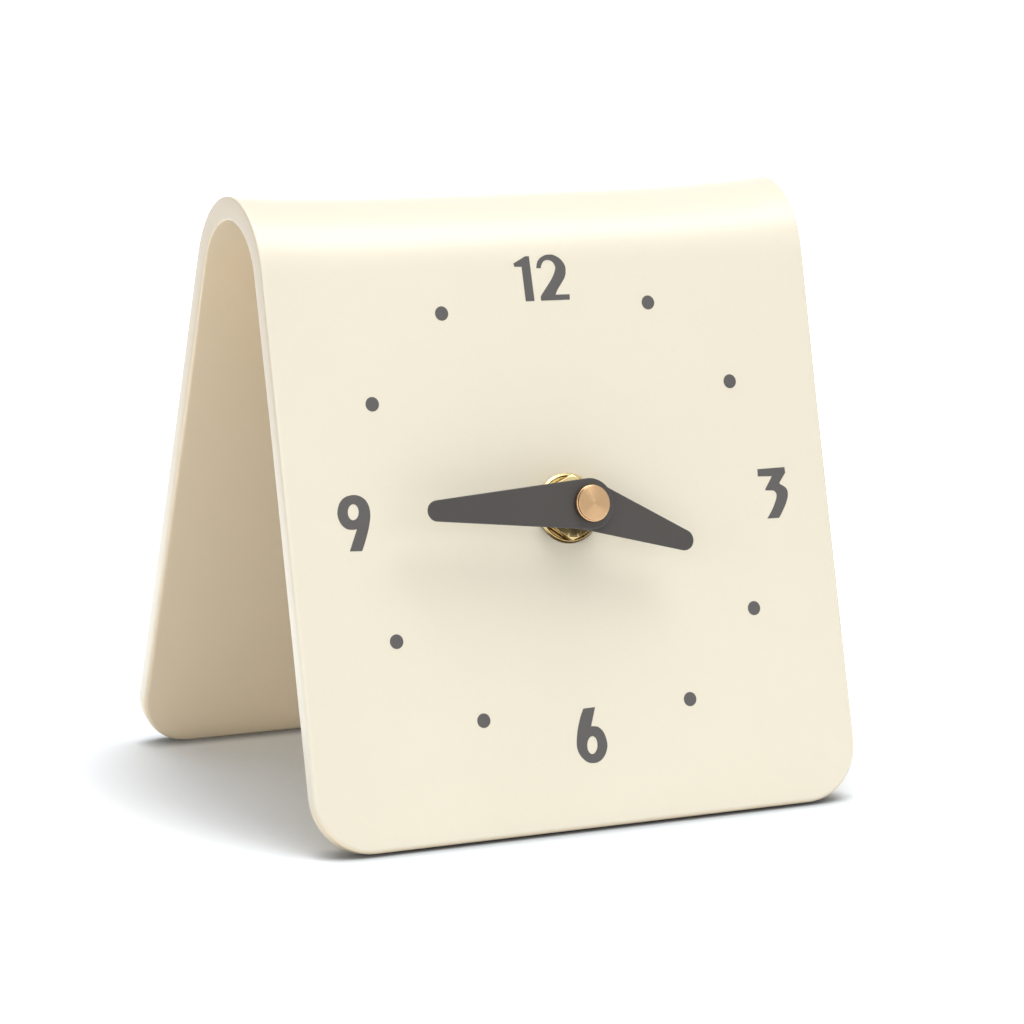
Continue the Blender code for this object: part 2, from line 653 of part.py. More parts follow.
def make_threaded_bush():
    outer = BUSH_DIAMETER / 2
    flange = BUSH_FLANGE_DIAMETER / 2
    turned(
        "threaded_bush",
        [
            (BUSH_BORE_RADIUS, BUSH_TOP),
            (outer, BUSH_TOP),
            (outer, BUSH_FLANGE_TOP),
            (flange, BUSH_FLANGE_TOP),
            (flange, BAY_FLOOR),
            (BUSH_BORE_RADIUS, BAY_FLOOR),
        ],
        "brass",
    )


# Hands


def hand_outline(reach):
    """A round hub and a round tip, with straight edges that touch both."""
    tip_middle = reach - HAND_TIP_RADIUS
    touch = math.acos((HAND_HUB_RADIUS - HAND_TIP_RADIUS) / tip_middle)
    up = math.pi / 2
    hub = arc(HANDS_AXIS, HAND_HUB_RADIUS, up + touch, up + 2 * math.pi - touch, ROUND_STEPS)
    tip = arc((0.0, tip_middle), HAND_TIP_RADIUS, up - touch, up + touch, SMALL_STEPS)
    return hub + tip


def make_hand(name, reach, bore, low, angle):
    outlines = [hand_outline(reach), circle(bore)]
    hand = add_object(name, slab(name, outlines, low, low + HAND_THICKNESS), "charcoal")
    hand.rotation_euler = (0.0, 0.0, -angle)


def make_cap_nut():
    outer = CAP_NUT_DIAMETER / 2
    bore = MINUTE_SHAFT_RADIUS + FIT_GAP
    bore_end = CAP_NUT_LOW + CAP_NUT_BORE_DEPTH
    turned(
        "cap_nut",
        [
            (0.0, CAP_NUT_TOP),
            (outer - CAP_NUT_CHAMFER, CAP_NUT_TOP),
            (outer, CAP_NUT_TOP - CAP_NUT_CHAMFER),
            (outer, CAP_NUT_LOW),
            (bore, CAP_NUT_LOW),
            (bore, bore_end),
            (0.0, bore_end),
        ],
        "copper",
    )


# Motion work, between the front wall and the train plate


def make_hour_wheel():
    """The wheel and its tube, which runs inside the bush and carries the hour hand."""
    tube_low = HOUR_WHEEL_LOW - PINION_OVERLAP
    section = ring(HOUR_TUBE_RADIUS, HOUR_TUBE_BORE_RADIUS, tube_low, HOUR_TUBE_TOP)
    wheel = turned("hour_wheel", section, "acetal")
    phase = meshed_phase(0.0, TRANSFER_PINION_TEETH, TRANSFER_DIRECTION + math.pi, HOUR_TEETH)
    inside_tube = (HOUR_TUBE_RADIUS + HOUR_TUBE_BORE_RADIUS) / 2
    join(
        wheel,
        gear(
            "hour_teeth",
            HOUR_TEETH,
            HOUR_MODULE,
            phase,
            HOUR_WHEEL_LOW,
            HOUR_WHEEL_TOP,
            inside_tube,
        ),
    )


def make_minute_shaft():
    """The shaft with its cannon pinion; the seconds arbor turns in the blind bore at its back."""
    bore = PIVOT_RADIUS + PIVOT_GAP
    bore_end = MINUTE_SHAFT_LOW + SECONDS_BORE_DEPTH
    shaft = turned(
        "minute_shaft",
        [
            (0.0, MINUTE_SHAFT_TOP),
            (MINUTE_SHAFT_RADIUS, MINUTE_SHAFT_TOP),
            (MINUTE_SHAFT_RADIUS, MINUTE_SHAFT_LOW),
            (bore, MINUTE_SHAFT_LOW),
            (bore, bore_end),
            (0.0, bore_end),
        ],
        "brass",
        SMALL_STEPS,
    )
    join(shaft, gear("cannon_teeth", CANNON_TEETH, MOTION_MODULE, 0.0, CANNON_LOW, CANNON_TOP))


def make_transfer_wheel():
    """Wheel and pinion on the setting arbor, which goes back through the cover to the knob."""
    front = BAY_FLOOR + ARBOR_SOCKET_DEPTH - END_SHAKE
    back = KNOB_TOP - KNOB_BORE_DEPTH + END_SHAKE
    radius = SETTING_ARBOR_RADIUS
    arbor = [(0.0, front), (radius, front), (radius, back), (0.0, back)]
    wheel = turned("transfer_wheel", arbor, "acetal", PIVOT_STEPS, TRANSFER_AXIS)
    phase = meshed_phase(0.0, CANNON_TEETH, TRANSFER_DIRECTION, TRANSFER_TEETH)
    teeth = gear(
        "transfer_teeth", TRANSFER_TEETH, MOTION_MODULE, phase, TRANSFER_LOW, TRANSFER_TOP
    )
    join(wheel, teeth, TRANSFER_AXIS)
    pinion = gear(
        "transfer_pinion_teeth",
        TRANSFER_PINION_TEETH,
        HOUR_MODULE,
        0.0,
        HOUR_WHEEL_LOW - PINION_OVERLAP,
        HOUR_WHEEL_TOP + PINION_OVERLAP,
    )
    join(wheel, pinion, TRANSFER_AXIS)


def make_setting_knob():
    root = KNOB_RADIUS - KNOB_RIDGE_DEPTH
    outline = toothed(KNOB_RIDGES, KNOB_RADIUS, root, KNOB_RIDGE_TOP_SHARE, KNOB_RIDGE_FOOT_SHARE)
    knob_mesh = slab("setting_knob", [outline], KNOB_LOW, KNOB_TOP)
    knob = add_object("setting_knob", knob_mesh, "case", TRANSFER_AXIS)
    bore = SETTING_ARBOR_RADIUS + FIT_GAP
    bore_end = KNOB_TOP - KNOB_BORE_DEPTH
    cut(knob, cylinder("knob_bore", bore, bore_end, KNOB_TOP + OVERRUN), TRANSFER_AXIS)


# Going train, between the train plate and the cover


def arbor_profile(pivot_front=PIVOT_FRONT, shoulder_front=SHOULDER_FRONT):
    return [
        (0.0, pivot_front),
        (PIVOT_RADIUS, pivot_front),
        (PIVOT_RADIUS, shoulder_front),
        (ARBOR_RADIUS, shoulder_front),
        (ARBOR_RADIUS, SHOULDER_BACK),
        (PIVOT_RADIUS, SHOULDER_BACK),
        (PIVOT_RADIUS, PIVOT_BACK),
        (0.0, PIVOT_BACK),
    ]


def make_train_plate():
    inset = TRAIN_PLATE_CORNER
    outlines = [
        rounded_rectangle(
            -TRAIN_PLATE_LEFT, TRAIN_PLATE_RIGHT, -TRAIN_PLATE_BOTTOM, TRAIN_PLATE_TOP, inset
        ),
        circle(MINUTE_SHAFT_RADIUS + RUNNING_GAP, SMALL_STEPS),
        circle(SETTING_ARBOR_RADIUS + RUNNING_GAP, PIVOT_STEPS, TRANSFER_AXIS),
    ]
    for axis in (THIRD_AXIS, INTERMEDIATE_AXIS, ROTOR_AXIS):
        outlines.append(circle(PIVOT_RADIUS + PIVOT_GAP, PIVOT_STEPS, axis))
    mesh = slab("train_plate", outlines, TRAIN_PLATE_BACK, TRAIN_PLATE_FRONT)
    add_object("train_plate", mesh, "acetal")


def make_centre_wheel():
    """Loose on the minute shaft, which it drives through the clutch spring behind it."""
    bore = MINUTE_SHAFT_RADIUS + RUNNING_GAP
    phase = meshed_phase(0.0, THIRD_PINION_TEETH, THIRD_DIRECTION + math.pi, CENTRE_TEETH)
    mesh = gear("centre_wheel", CENTRE_TEETH, CENTRE_MODULE, phase, CENTRE_LOW, CENTRE_TOP, bore)
    add_object("centre_wheel", mesh, "acetal")
    section = ring(CLUTCH_SPRING_RADIUS, bore, SPRING_LOW, SPRING_TOP)
    turned("clutch_spring", section, "steel", SMALL_STEPS)


def make_third_wheel():
    wheel = turned("third_wheel", arbor_profile(), "acetal", PIVOT_STEPS, THIRD_AXIS)
    phase = meshed_phase(0.0, SECONDS_PINION_TEETH, THIRD_DIRECTION, THIRD_TEETH)
    teeth = gear("third_teeth", THIRD_TEETH, THIRD_MODULE, phase, THIRD_LOW, THIRD_TOP)
    join(wheel, teeth, THIRD_AXIS)
    pinion = gear(
        "third_pinion_teeth",
        THIRD_PINION_TEETH,
        CENTRE_MODULE,
        0.0,
        CENTRE_LOW - PINION_OVERLAP,
        CENTRE_TOP + PINION_OVERLAP,
    )
    join(wheel, pinion, THIRD_AXIS)


def make_seconds_wheel():
    pivot_front = MINUTE_SHAFT_LOW + SECONDS_BORE_DEPTH - END_SHAKE
    profile = arbor_profile(pivot_front, THIRD_TOP)
    wheel = turned("seconds_wheel", profile, "acetal", PIVOT_STEPS)
    direction = INTERMEDIATE_DIRECTION + math.pi
    phase = meshed_phase(0.0, INTERMEDIATE_PINION_TEETH, direction, SECONDS_TEETH)
    join(wheel, gear("seconds_teeth", SECONDS_TEETH, SECONDS_MODULE, phase, SECONDS_LOW, SECONDS_TOP))
    pinion = gear(
        "seconds_pinion_teeth",
        SECONDS_PINION_TEETH,
        THIRD_MODULE,
        0.0,
        THIRD_LOW - PINION_OVERLAP,
        SECONDS_PINION_TOP,
    )
    join(wheel, pinion)


def make_intermediate_wheel():
    axis = INTERMEDIATE_AXIS
    wheel = turned("intermediate_wheel", arbor_profile(), "acetal", PIVOT_STEPS, axis)
    phase = meshed_phase(0.0, ROTOR_TEETH, ROTOR_DIRECTION + math.pi, INTERMEDIATE_TEETH)
    teeth = gear(
        "intermediate_teeth",
        INTERMEDIATE_TEETH,
        ROTOR_MODULE,
        phase,
        INTERMEDIATE_LOW,
        INTERMEDIATE_TOP,
    )
    join(wheel, teeth, axis)
    pinion = gear(
        "intermediate_pinion_teeth",
        INTERMEDIATE_PINION_TEETH,
        SECONDS_MODULE,
        0.0,
        SECONDS_LOW - PINION_OVERLAP,
        SECONDS_TOP + PINION_OVERLAP,
    )
    join(wheel, pinion, axis)


# Motor


def make_rotor():
    pinion = turned("rotor_pinion", arbor_profile(), "steel", PIVOT_STEPS, ROTOR_AXIS)
    teeth = gear(
        "rotor_teeth",
        ROTOR_TEETH,
        ROTOR_MODULE,
        0.0,
        INTERMEDIATE_LOW - PINION_OVERLAP,
        INTERMEDIATE_TOP + PINION_OVERLAP,
    )
    join(pinion, teeth, ROTOR_AXIS)
    section = ring(MAGNET_RADIUS, ARBOR_RADIUS + FIT_GAP, MAGNET_LOW, MAGNET_TOP)
    turned("rotor_magnet", section, "magnet", SMALL_STEPS, ROTOR_AXIS)


def make_stator():
    """A flat C whose arms carry the coil's core, and a pole piece round the rotor."""
    pole = STATOR_BORE_RADIUS + STATOR_POLE_WIDTH
    arm_low = COIL_MIDDLE_HEIGHT - STATOR_ARM_REACH
    arm_high = COIL_MIDDLE_HEIGHT + STATOR_ARM_REACH
    outline = [
        (STATOR_SPINE_LEFT, arm_low),
        (STATOR_ARM_RIGHT, arm_low),
        (STATOR_ARM_RIGHT, arm_low + STATOR_ARM_WIDTH),
        (STATOR_SPINE_RIGHT, arm_low + STATOR_ARM_WIDTH),
        (STATOR_SPINE_RIGHT, arm_high - STATOR_ARM_WIDTH),
        (STATOR_ARM_RIGHT, arm_high - STATOR_ARM_WIDTH),
        (STATOR_ARM_RIGHT, arm_high),
        (STATOR_SPINE_LEFT, arm_high),
        (STATOR_SPINE_LEFT, ROTOR_AXIS.y + pole),
        (ROTOR_AXIS.x - pole, ROTOR_AXIS.y + pole),
        (ROTOR_AXIS.x - pole, ROTOR_AXIS.y - pole),
        (STATOR_SPINE_LEFT, ROTOR_AXIS.y - pole),
    ]
    bore = circle(STATOR_BORE_RADIUS, ROUND_STEPS, ROTOR_AXIS)
    add_object("stator", slab("stator", [outline, bore], STATOR_LOW, STATOR_TOP), "steel")


def make_coil():
    """Core strip, bobbin and winding, in line up the slope of the dial."""
    reach = COIL_LENGTH / 2
    inside = reach - COIL_FLANGE_THICKNESS
    middle = (COIL_AXIS_X, COIL_MIDDLE_HEIGHT, COIL_AXIS_DEPTH)
    bobbin = turned(
        "coil_bobbin",
        [
            (COIL_BORE_RADIUS, reach),
            (COIL_FLANGE_RADIUS, reach),
            (COIL_FLANGE_RADIUS, inside),
            (COIL_TUBE_RADIUS, inside),
            (COIL_TUBE_RADIUS, -inside),
            (COIL_FLANGE_RADIUS, -inside),
            (COIL_FLANGE_RADIUS, -reach),
            (COIL_BORE_RADIUS, -reach),
        ],
        "bobbin",
        SMALL_STEPS,
        middle,
    )
    wound = inside - FIT_GAP
    section = ring(COIL_WINDING_RADIUS, COIL_TUBE_RADIUS + FIT_GAP, -wound, wound)
    winding = turned("coil_winding", section, "winding", SMALL_STEPS, middle)
    for obj in (bobbin, winding):
        obj.rotation_euler = (-math.pi / 2, 0.0, 0.0)
    end = STATOR_ARM_REACH - SEAT_GAP
    core = box(
        "coil_core",
        COIL_AXIS_X - CORE_WIDTH / 2,
        COIL_AXIS_X + CORE_WIDTH / 2,
        COIL_MIDDLE_HEIGHT - end,
        COIL_MIDDLE_HEIGHT + end,
        CORE_LOW,
        CORE_TOP,
    )
    add_object("coil_core", core, "steel")


# Circuit board


def make_circuit_board():
    mesh = box(
        "circuit_board",
        -BOARD_HALF_LENGTH,
        BOARD_HALF_LENGTH,
        BOARD_EDGE_BOTTOM,
        BOARD_EDGE_TOP,
        BOARD_LOW,
        BOARD_TOP,
    )
    add_object("circuit_board", mesh, "board")


def make_driver_chip():
    """A drop of resin over the chip, on the back of the board."""
    quarter = arc(HANDS_AXIS, 1.0, 0.0, math.pi / 2, CORNER_STEPS)
    top = BOARD_LOW - SEAT_GAP
    dome = [(CHIP_RADIUS * x, top - CHIP_HEIGHT * y) for x, y in quarter[:-1]]
    profile = [(0.0, top), *dome, (0.0, top - CHIP_HEIGHT)]
    turned(
        "driver_chip",
        profile,
        "resin",
        SMALL_STEPS,
        (CHIP_SHARE * BOARD_HALF_LENGTH, BOARD_MIDDLE, 0.0),
    )


def make_quartz_crystal():
    half = CRYSTAL_LENGTH / 2
    profile = [(0.0, half), (CRYSTAL_RADIUS, half), (CRYSTAL_RADIUS, -half), (0.0, -half)]
    place = (
        CRYSTAL_SHARE * BOARD_HALF_LENGTH,
        BOARD_MIDDLE,
        BOARD_TOP + SEAT_GAP + CRYSTAL_RADIUS,
    )
    crystal = turned("quartz_crystal", profile, "steel", SMALL_STEPS, place)
    crystal.rotation_euler = (0.0, math.pi / 2, 0.0)


# Battery and its contacts


def make_battery():
    """One cell lying along X, its nub to the right as seen from the front."""
    half = BATTERY_LENGTH / 2
    shoulder = half - BATTERY_NUB_LENGTH
    radius = BATTERY_DIAMETER / 2
    battery = turned(
        "battery",
        [
            (0.0, half),
            (BATTERY_NUB_RADIUS, half),
            (BATTERY_NUB_RADIUS, shoulder),
            (radius - BATTERY_RIM, shoulder),
            (radius, shoulder - BATTERY_RIM),
            (radius, BATTERY_RIM - half),
            (radius - BATTERY_RIM, -half),
            (0.0, -half),
        ],
        "sleeve",
        ROUND_STEPS,
        (0.0, BATTERY_AXIS_Y, BATTERY_AXIS_DEPTH),
    )
    battery.rotation_euler = (0.0, math.pi / 2, 0.0)


def make_contact(name, side):
    """A square pad at the battery's end, with a leg up to the circuit board."""
    pad_bottom = BATTERY_AXIS_Y - CONTACT_PAD_WIDTH / 2
    pad_top = BATTERY_AXIS_Y + CONTACT_PAD_WIDTH / 2
    pad_front = BATTERY_AXIS_DEPTH + CONTACT_PAD_WIDTH / 2
    outline = [
        (pad_bottom, pad_front),
        (pad_top, pad_front),
        (pad_top, CONTACT_LEG_FRONT),
        (BOARD_MIDDLE, CONTACT_LEG_FRONT),
        (BOARD_MIDDLE, CONTACT_BACK),
        (pad_bottom, CONTACT_BACK),
    ]
    low, high = sorted((side * CONTACT_INSIDE, side * CONTACT_OUTSIDE))
    contact = add_object(name, slab(name, [outline], low, high), "steel")
    contact.rotation_euler = (math.pi / 2, 0.0, math.pi / 2)


# Case and cover


def case_posts():
    """Places and tops of the posts that carry the train plate, the stator and the board."""
    left = -TRAIN_PLATE_LEFT + TRAIN_POST_INSET
    right = TRAIN_PLATE_RIGHT - TRAIN_POST_INSET
    bottom = -TRAIN_PLATE_BOTTOM + TRAIN_POST_INSET
    top = TRAIN_PLATE_TOP - TRAIN_POST_INSET
    posts = [((x, y, 0.0), TRAIN_PLATE_FRONT) for x in (left, right) for y in (bottom, top)]
    arm = STATOR_ARM_REACH - STATOR_ARM_WIDTH / 2
    posts += [
        ((STATOR_POST_X, COIL_MIDDLE_HEIGHT + side * arm, 0.0), STATOR_TOP) for side in (-1, 1)
    ]
    board = BOARD_POST_SHARE * BOARD_HALF_LENGTH
    posts += [((side * board, BOARD_MIDDLE, 0.0), BOARD_TOP) for side in (-1, 1)]
    return posts


def cut_bays(case):
    back = CASE_BACK - OVERRUN
    for name, bottom, top in (
        ("gear_bay", GEAR_BAY_BOTTOM, GEAR_BAY_TOP),
        ("battery_bay", BATTERY_BAY_BOTTOM, BATTERY_BAY_TOP),
    ):
        outline = rounded_rectangle(-BAY_HALF_WIDTH, BAY_HALF_WIDTH, bottom, top, BAY_CORNER_RADIUS)
        cut(case, slab(name, [outline], back, BAY_FLOOR))
    wide = CASE_HALF_WIDTH + OVERRUN
    cut(case, box("cover_step", -wide, wide, COVER_STEP, wide, back, COVER_SEAT))


def cut_front_wall(case):
    low = BAY_FLOOR - OVERRUN
    cut(case, cylinder("bush_way", BUSH_HOLE_RADIUS, low, CASE_FRONT + OVERRUN, ROUND_STEPS))
    flange = BUSH_FLANGE_DIAMETER / 2 + SEAT_GAP
    cut(case, cylinder("flange_seat", flange, low, BUSH_FLANGE_TOP + SEAT_GAP, ROUND_STEPS))
    socket = SETTING_ARBOR_RADIUS + RUNNING_GAP
    socket_end = BAY_FLOOR + ARBOR_SOCKET_DEPTH
    cut(case, cylinder("arbor_socket", socket, low, socket_end, PIVOT_STEPS), TRANSFER_AXIS)


def cut_contact_slots(case):
    """Slots in the wall between the bays, for the contacts' legs."""
    for side in (-1, 1):
        left, right = sorted(
            (side * (CONTACT_INSIDE - SEAT_GAP), side * (CONTACT_OUTSIDE + SEAT_GAP))
        )
        slot = box(
            f"contact_slot_{'left' if side < 0 else 'right'}",
            left,
            right,
            BATTERY_BAY_TOP - BAY_CORNER_RADIUS,
            GEAR_BAY_BOTTOM + BAY_CORNER_RADIUS,
            CASE_BACK - OVERRUN,
            CONTACT_LEG_FRONT + SEAT_GAP,
        )
        cut(case, slot)


def make_case():
    outline = rounded_rectangle(
        -CASE_HALF_WIDTH, CASE_HALF_WIDTH, CASE_BOTTOM, CASE_TOP, CASE_CORNER_RADIUS
    )
    case = add_object("movement_case", slab("case", [outline], CASE_BACK, CASE_FRONT), "case")
    cut_bays(case)
    cut_front_wall(case)
    cut_contact_slots(case)
    for number, (place, top) in enumerate(case_posts()):
        join(case, cylinder(f"post_{number}", POST_RADIUS, top + SEAT_GAP, POST_FOOT), place)


def make_rear_cover():
    across = CASE_HALF_WIDTH - CASE_CORNER_RADIUS
    up = CASE_TOP - CASE_CORNER_RADIUS
    right = arc((across, up), CASE_CORNER_RADIUS, 0.0, math.pi / 2, CORNER_STEPS)
    left = arc((-across, up), CASE_CORNER_RADIUS, math.pi / 2, math.pi, CORNER_STEPS)
    edge = COVER_STEP + SEAT_GAP
    outline = [(CASE_HALF_WIDTH, edge), *right, *left, (-CASE_HALF_WIDTH, edge)]
    arbor_hole = circle(SETTING_ARBOR_RADIUS + RUNNING_GAP, PIVOT_STEPS, TRANSFER_AXIS)
    mesh = slab("rear_cover", [outline, arbor_hole], CASE_BACK, COVER_FRONT)
    cover = add_object("rear_cover", mesh, "cover")
    bottom = COVER_FRONT - COVER_PIVOT_DEPTH
    for name, axis in (
        ("seconds", HANDS_AXIS),
        ("third", THIRD_AXIS),
        ("intermediate", INTERMEDIATE_AXIS),
        ("rotor", ROTOR_AXIS),
    ):
        radius = PIVOT_RADIUS + PIVOT_GAP
        top = COVER_FRONT + OVERRUN
        cut(cover, cylinder(f"{name}_pivot_hole", radius, bottom, top, PIVOT_STEPS), axis)


def make_dial_frame():
    frame = bpy.data.objects.new("dial_frame", None)
    parts.objects.link(frame)
    frame.location = bent(0.0, DIAL_ALONG, PLATE_THICKNESS / 2)
    frame.rotation_euler = (BEND_HALF_ANGLE, 0.0, 0.0)
    return frame


clear_scene()
parts = new_collection("desk clock")
cutters = new_collection("cutters")
finishes = make_materials()
dial_frame = make_dial_frame()

make_bent_plate()
make_washer()
make_gasket()
make_hex_nut()
make_threaded_bush()
make_hand(
    "hour_hand", HOUR_HAND_REACH, HOUR_TUBE_RADIUS + FIT_GAP, HOUR_HAND_LOW, HOUR_HAND_ANGLE
)
make_hand(
    "minute_hand",
    MINUTE_HAND_REACH,
    MINUTE_SHAFT_RADIUS + FIT_GAP,
    MINUTE_HAND_LOW,
    MINUTE_HAND_ANGLE,
)
make_cap_nut()
make_hour_wheel()
make_minute_shaft()
make_transfer_wheel()
make_setting_knob()
make_train_plate()
make_centre_wheel()
make_third_wheel()
make_seconds_wheel()
make_intermediate_wheel()
make_rotor()
make_stator()
make_coil()
make_circuit_board()
make_driver_chip()
make_quartz_crystal()
make_battery()
make_contact("battery_contact_positive", 1)
make_contact("battery_contact_negative", -1)
make_case()
make_rear_cover()
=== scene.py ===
import json

import bmesh
import bpy
import numpy as np
from mathutils import Matrix
from mathutils.geometry import tessellate_polygon


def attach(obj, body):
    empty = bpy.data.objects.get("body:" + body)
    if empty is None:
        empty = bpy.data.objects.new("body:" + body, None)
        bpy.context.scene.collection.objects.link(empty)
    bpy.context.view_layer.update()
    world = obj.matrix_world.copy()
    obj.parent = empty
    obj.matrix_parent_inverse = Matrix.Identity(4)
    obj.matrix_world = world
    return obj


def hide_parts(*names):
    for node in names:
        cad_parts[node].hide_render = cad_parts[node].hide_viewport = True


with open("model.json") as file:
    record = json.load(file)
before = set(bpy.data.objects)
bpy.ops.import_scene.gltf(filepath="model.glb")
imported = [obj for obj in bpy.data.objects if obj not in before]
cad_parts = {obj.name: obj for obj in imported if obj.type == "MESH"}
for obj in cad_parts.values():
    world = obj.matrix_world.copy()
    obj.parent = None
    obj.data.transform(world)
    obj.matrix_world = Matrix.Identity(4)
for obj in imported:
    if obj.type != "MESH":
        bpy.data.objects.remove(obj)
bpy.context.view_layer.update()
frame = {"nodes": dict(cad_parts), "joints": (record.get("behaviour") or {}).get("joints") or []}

mm = 0.001  # every length below is in millimetres and becomes metres where a mesh or lamp is made


# Camera
camera = {
    "target": (3.68, 0.0, 60.23),
    "distance": 918.24,
    "azimuth": -27.517,  # degrees, 0 looks along +Y
    "elevation": 11.962,
    "roll": 1.638,
    "lens": 142.12,
    "sensor": 36.0,
    "clipEnd": 50.0,  # metres
}


def placeCamera(settings):
    # The view direction comes from azimuth and elevation; the picture's axes are then rolled about it.
    azimuth, elevation, roll = np.radians([settings[k] for k in ("azimuth", "elevation", "roll")])
    forward = np.array([
        -np.sin(azimuth) * np.cos(elevation),
        np.cos(azimuth) * np.cos(elevation),
        -np.sin(elevation),
    ])
    right = np.array([np.cos(azimuth), np.sin(azimuth), 0.0])
    up = np.cross(right, forward)
    across = np.cos(roll) * right + np.sin(roll) * up
    upwards = np.cos(roll) * up - np.sin(roll) * right
    eye = (np.array(settings["target"]) - settings["distance"] * forward) * mm
    lensData = bpy.data.cameras.new("camera")
    lensData.lens = settings["lens"]
    lensData.sensor_width = settings["sensor"]
    lensData.clip_end = settings["clipEnd"]
    eyeObject = bpy.data.objects.new("camera", lensData)
    rows = np.column_stack([across, upwards, -forward, eye])
    eyeObject.matrix_world = Matrix(np.vstack([rows, [0, 0, 0, 1]]).tolist())
    bpy.context.scene.collection.objects.link(eyeObject)
    bpy.context.scene.camera = eyeObject


placeCamera(camera)
print("camera placed")


# Shader sums
class Shade:
    # A socket of a material's node tree. Each operator adds its Math node; node() adds any other kind.
    def __init__(self, tree, socket=None):
        self.tree = tree
        self.socket = socket

    def node(self, kind, settings=None, sockets=None, output=0):
        made = self.tree.nodes.new("ShaderNode" + kind)
        for name, value in (settings or {}).items():
            setattr(made, name, value)
        for name, value in (sockets or {}).items():
            if isinstance(value, Shade):
                self.tree.links.new(value.socket, made.inputs[name])
            else:
                made.inputs[name].default_value = value
        return Shade(self.tree, made.outputs[output])

    def math(self, operation, *values):
        return self.node("Math", {"operation": operation}, dict(enumerate(values)))

    def __add__(self, other):
        return self.math("ADD", self, other)

    def __radd__(self, other):
        return self.math("ADD", other, self)

    def __sub__(self, other):
        return self.math("SUBTRACT", self, other)

    def __mul__(self, other):
        return self.math("MULTIPLY", self, other)

    def __truediv__(self, other):
        return self.math("DIVIDE", self, other)


def screen(red, green, blue):
    # A colour as a screen shows it, 0 to 255, turned into the linear values that a shader works with.
    share = np.array([red, green, blue]) / 255
    linear = np.where(share <= 0.04045, share / 12.92, ((share + 0.055) / 1.055) ** 2.4)
    return (*linear.tolist(), 1.0)


def place(shade):
    return shade.node("TexCoord", output="Object")


def noise(shade, size, detail=2.0, roughness=0.5, vector=None):
    # Even noise from 0 to 1 whose lumps are about size millimetres across.
    sockets = {"Vector": vector or place(shade), "Scale": 1 / (size * mm)}
    return shade.node("TexNoise", sockets={**sockets, "Detail": detail, "Roughness": roughness})


def mixColour(shade, share, first, second):
    return shade.node("Mix", {"data_type": "RGBA"}, {0: share, 6: first, 7: second}, output=2)


def between(shade, value, low, high, newLow=0.0, newHigh=1.0):
    sockets = {"Value": value, 1: low, 2: high, 3: newLow, 4: newHigh}
    return shade.node("MapRange", {"clamp": True, "interpolation_type": "SMOOTHSTEP"}, sockets)


down = (0.0, 0.0, -1.0)
sideways = (1.0, 0.0, 0.0)


def facing(shade, direction):
    # The cosine of the angle between the surface's normal and a direction.
    sockets = {0: shade.node("NewGeometry", output="Normal"), 1: direction}
    return shade.node("VectorMath", {"operation": "DOT_PRODUCT"}, sockets, output=1)


def bump(shade, height, depth, normal=None):
    # height from 0 to 1 stands depth millimetres high.
    sockets = {"Height": height, "Distance": depth * mm, "Strength": 1.0}
    if normal:
        sockets["Normal"] = normal
    return shade.node("Bump", sockets=sockets)


def newMaterial(name, describe, **fixed):
    # describe gives what changes over the surface; fixed holds what is the same all over, by socket name.
    material = bpy.data.materials.new(name)
    material.use_nodes = True
    tree = material.node_tree
    tree.nodes.clear()
    shade = Shade(tree)
    surface = tree.nodes.new("ShaderNodeBsdfPrincipled")
    for socketName, value in fixed.items():
        surface.inputs[socketName.replace("_", " ")].default_value = value
    for socketName, value in describe(shade).items():
        tree.links.new(value.socket, surface.inputs[socketName.replace("_", " ")])
    output = tree.nodes.new("ShaderNodeOutputMaterial")
    tree.links.new(surface.outputs[0], output.inputs[0])
    return material


# Mesh helpers
meshing = {
    "seam": 0.002,  # points nearer to each other than this become one
    "flat": 1.0,  # degrees up to which two faces count as one flat face
    "sharp": 35.0,  # degrees from which an edge looks sharp
    "bevelAngle": 30.0,
    "bevelSteps": 2,
}
tiny = 1e-9  # keeps a division by nothing away


def quads(rows, columns, roundRows=False, roundColumns=False):
    # The four-sided faces of a grid of points; a round direction joins its last line to its first.
    number = np.arange(rows * columns).reshape(rows, columns)
    if roundRows:
        number = np.vstack([number, number[:1]])
    if roundColumns:
        number = np.hstack([number, number[:, :1]])
    corners = [number[:-1, :-1], number[:-1, 1:], number[1:, 1:], number[1:, :-1]]
    return np.stack(corners, -1).reshape(-1, 4)


def joined(*parts):
    # Several (points, faces) pairs as one, the faces renumbered.
    points = []
    faces = []
    count = 0
    for partPoints, partFaces in parts:
        points.append(partPoints)
        faces += [[int(corner) + count for corner in face] for face in partFaces]
        count += len(partPoints)
    return np.vstack(points), faces


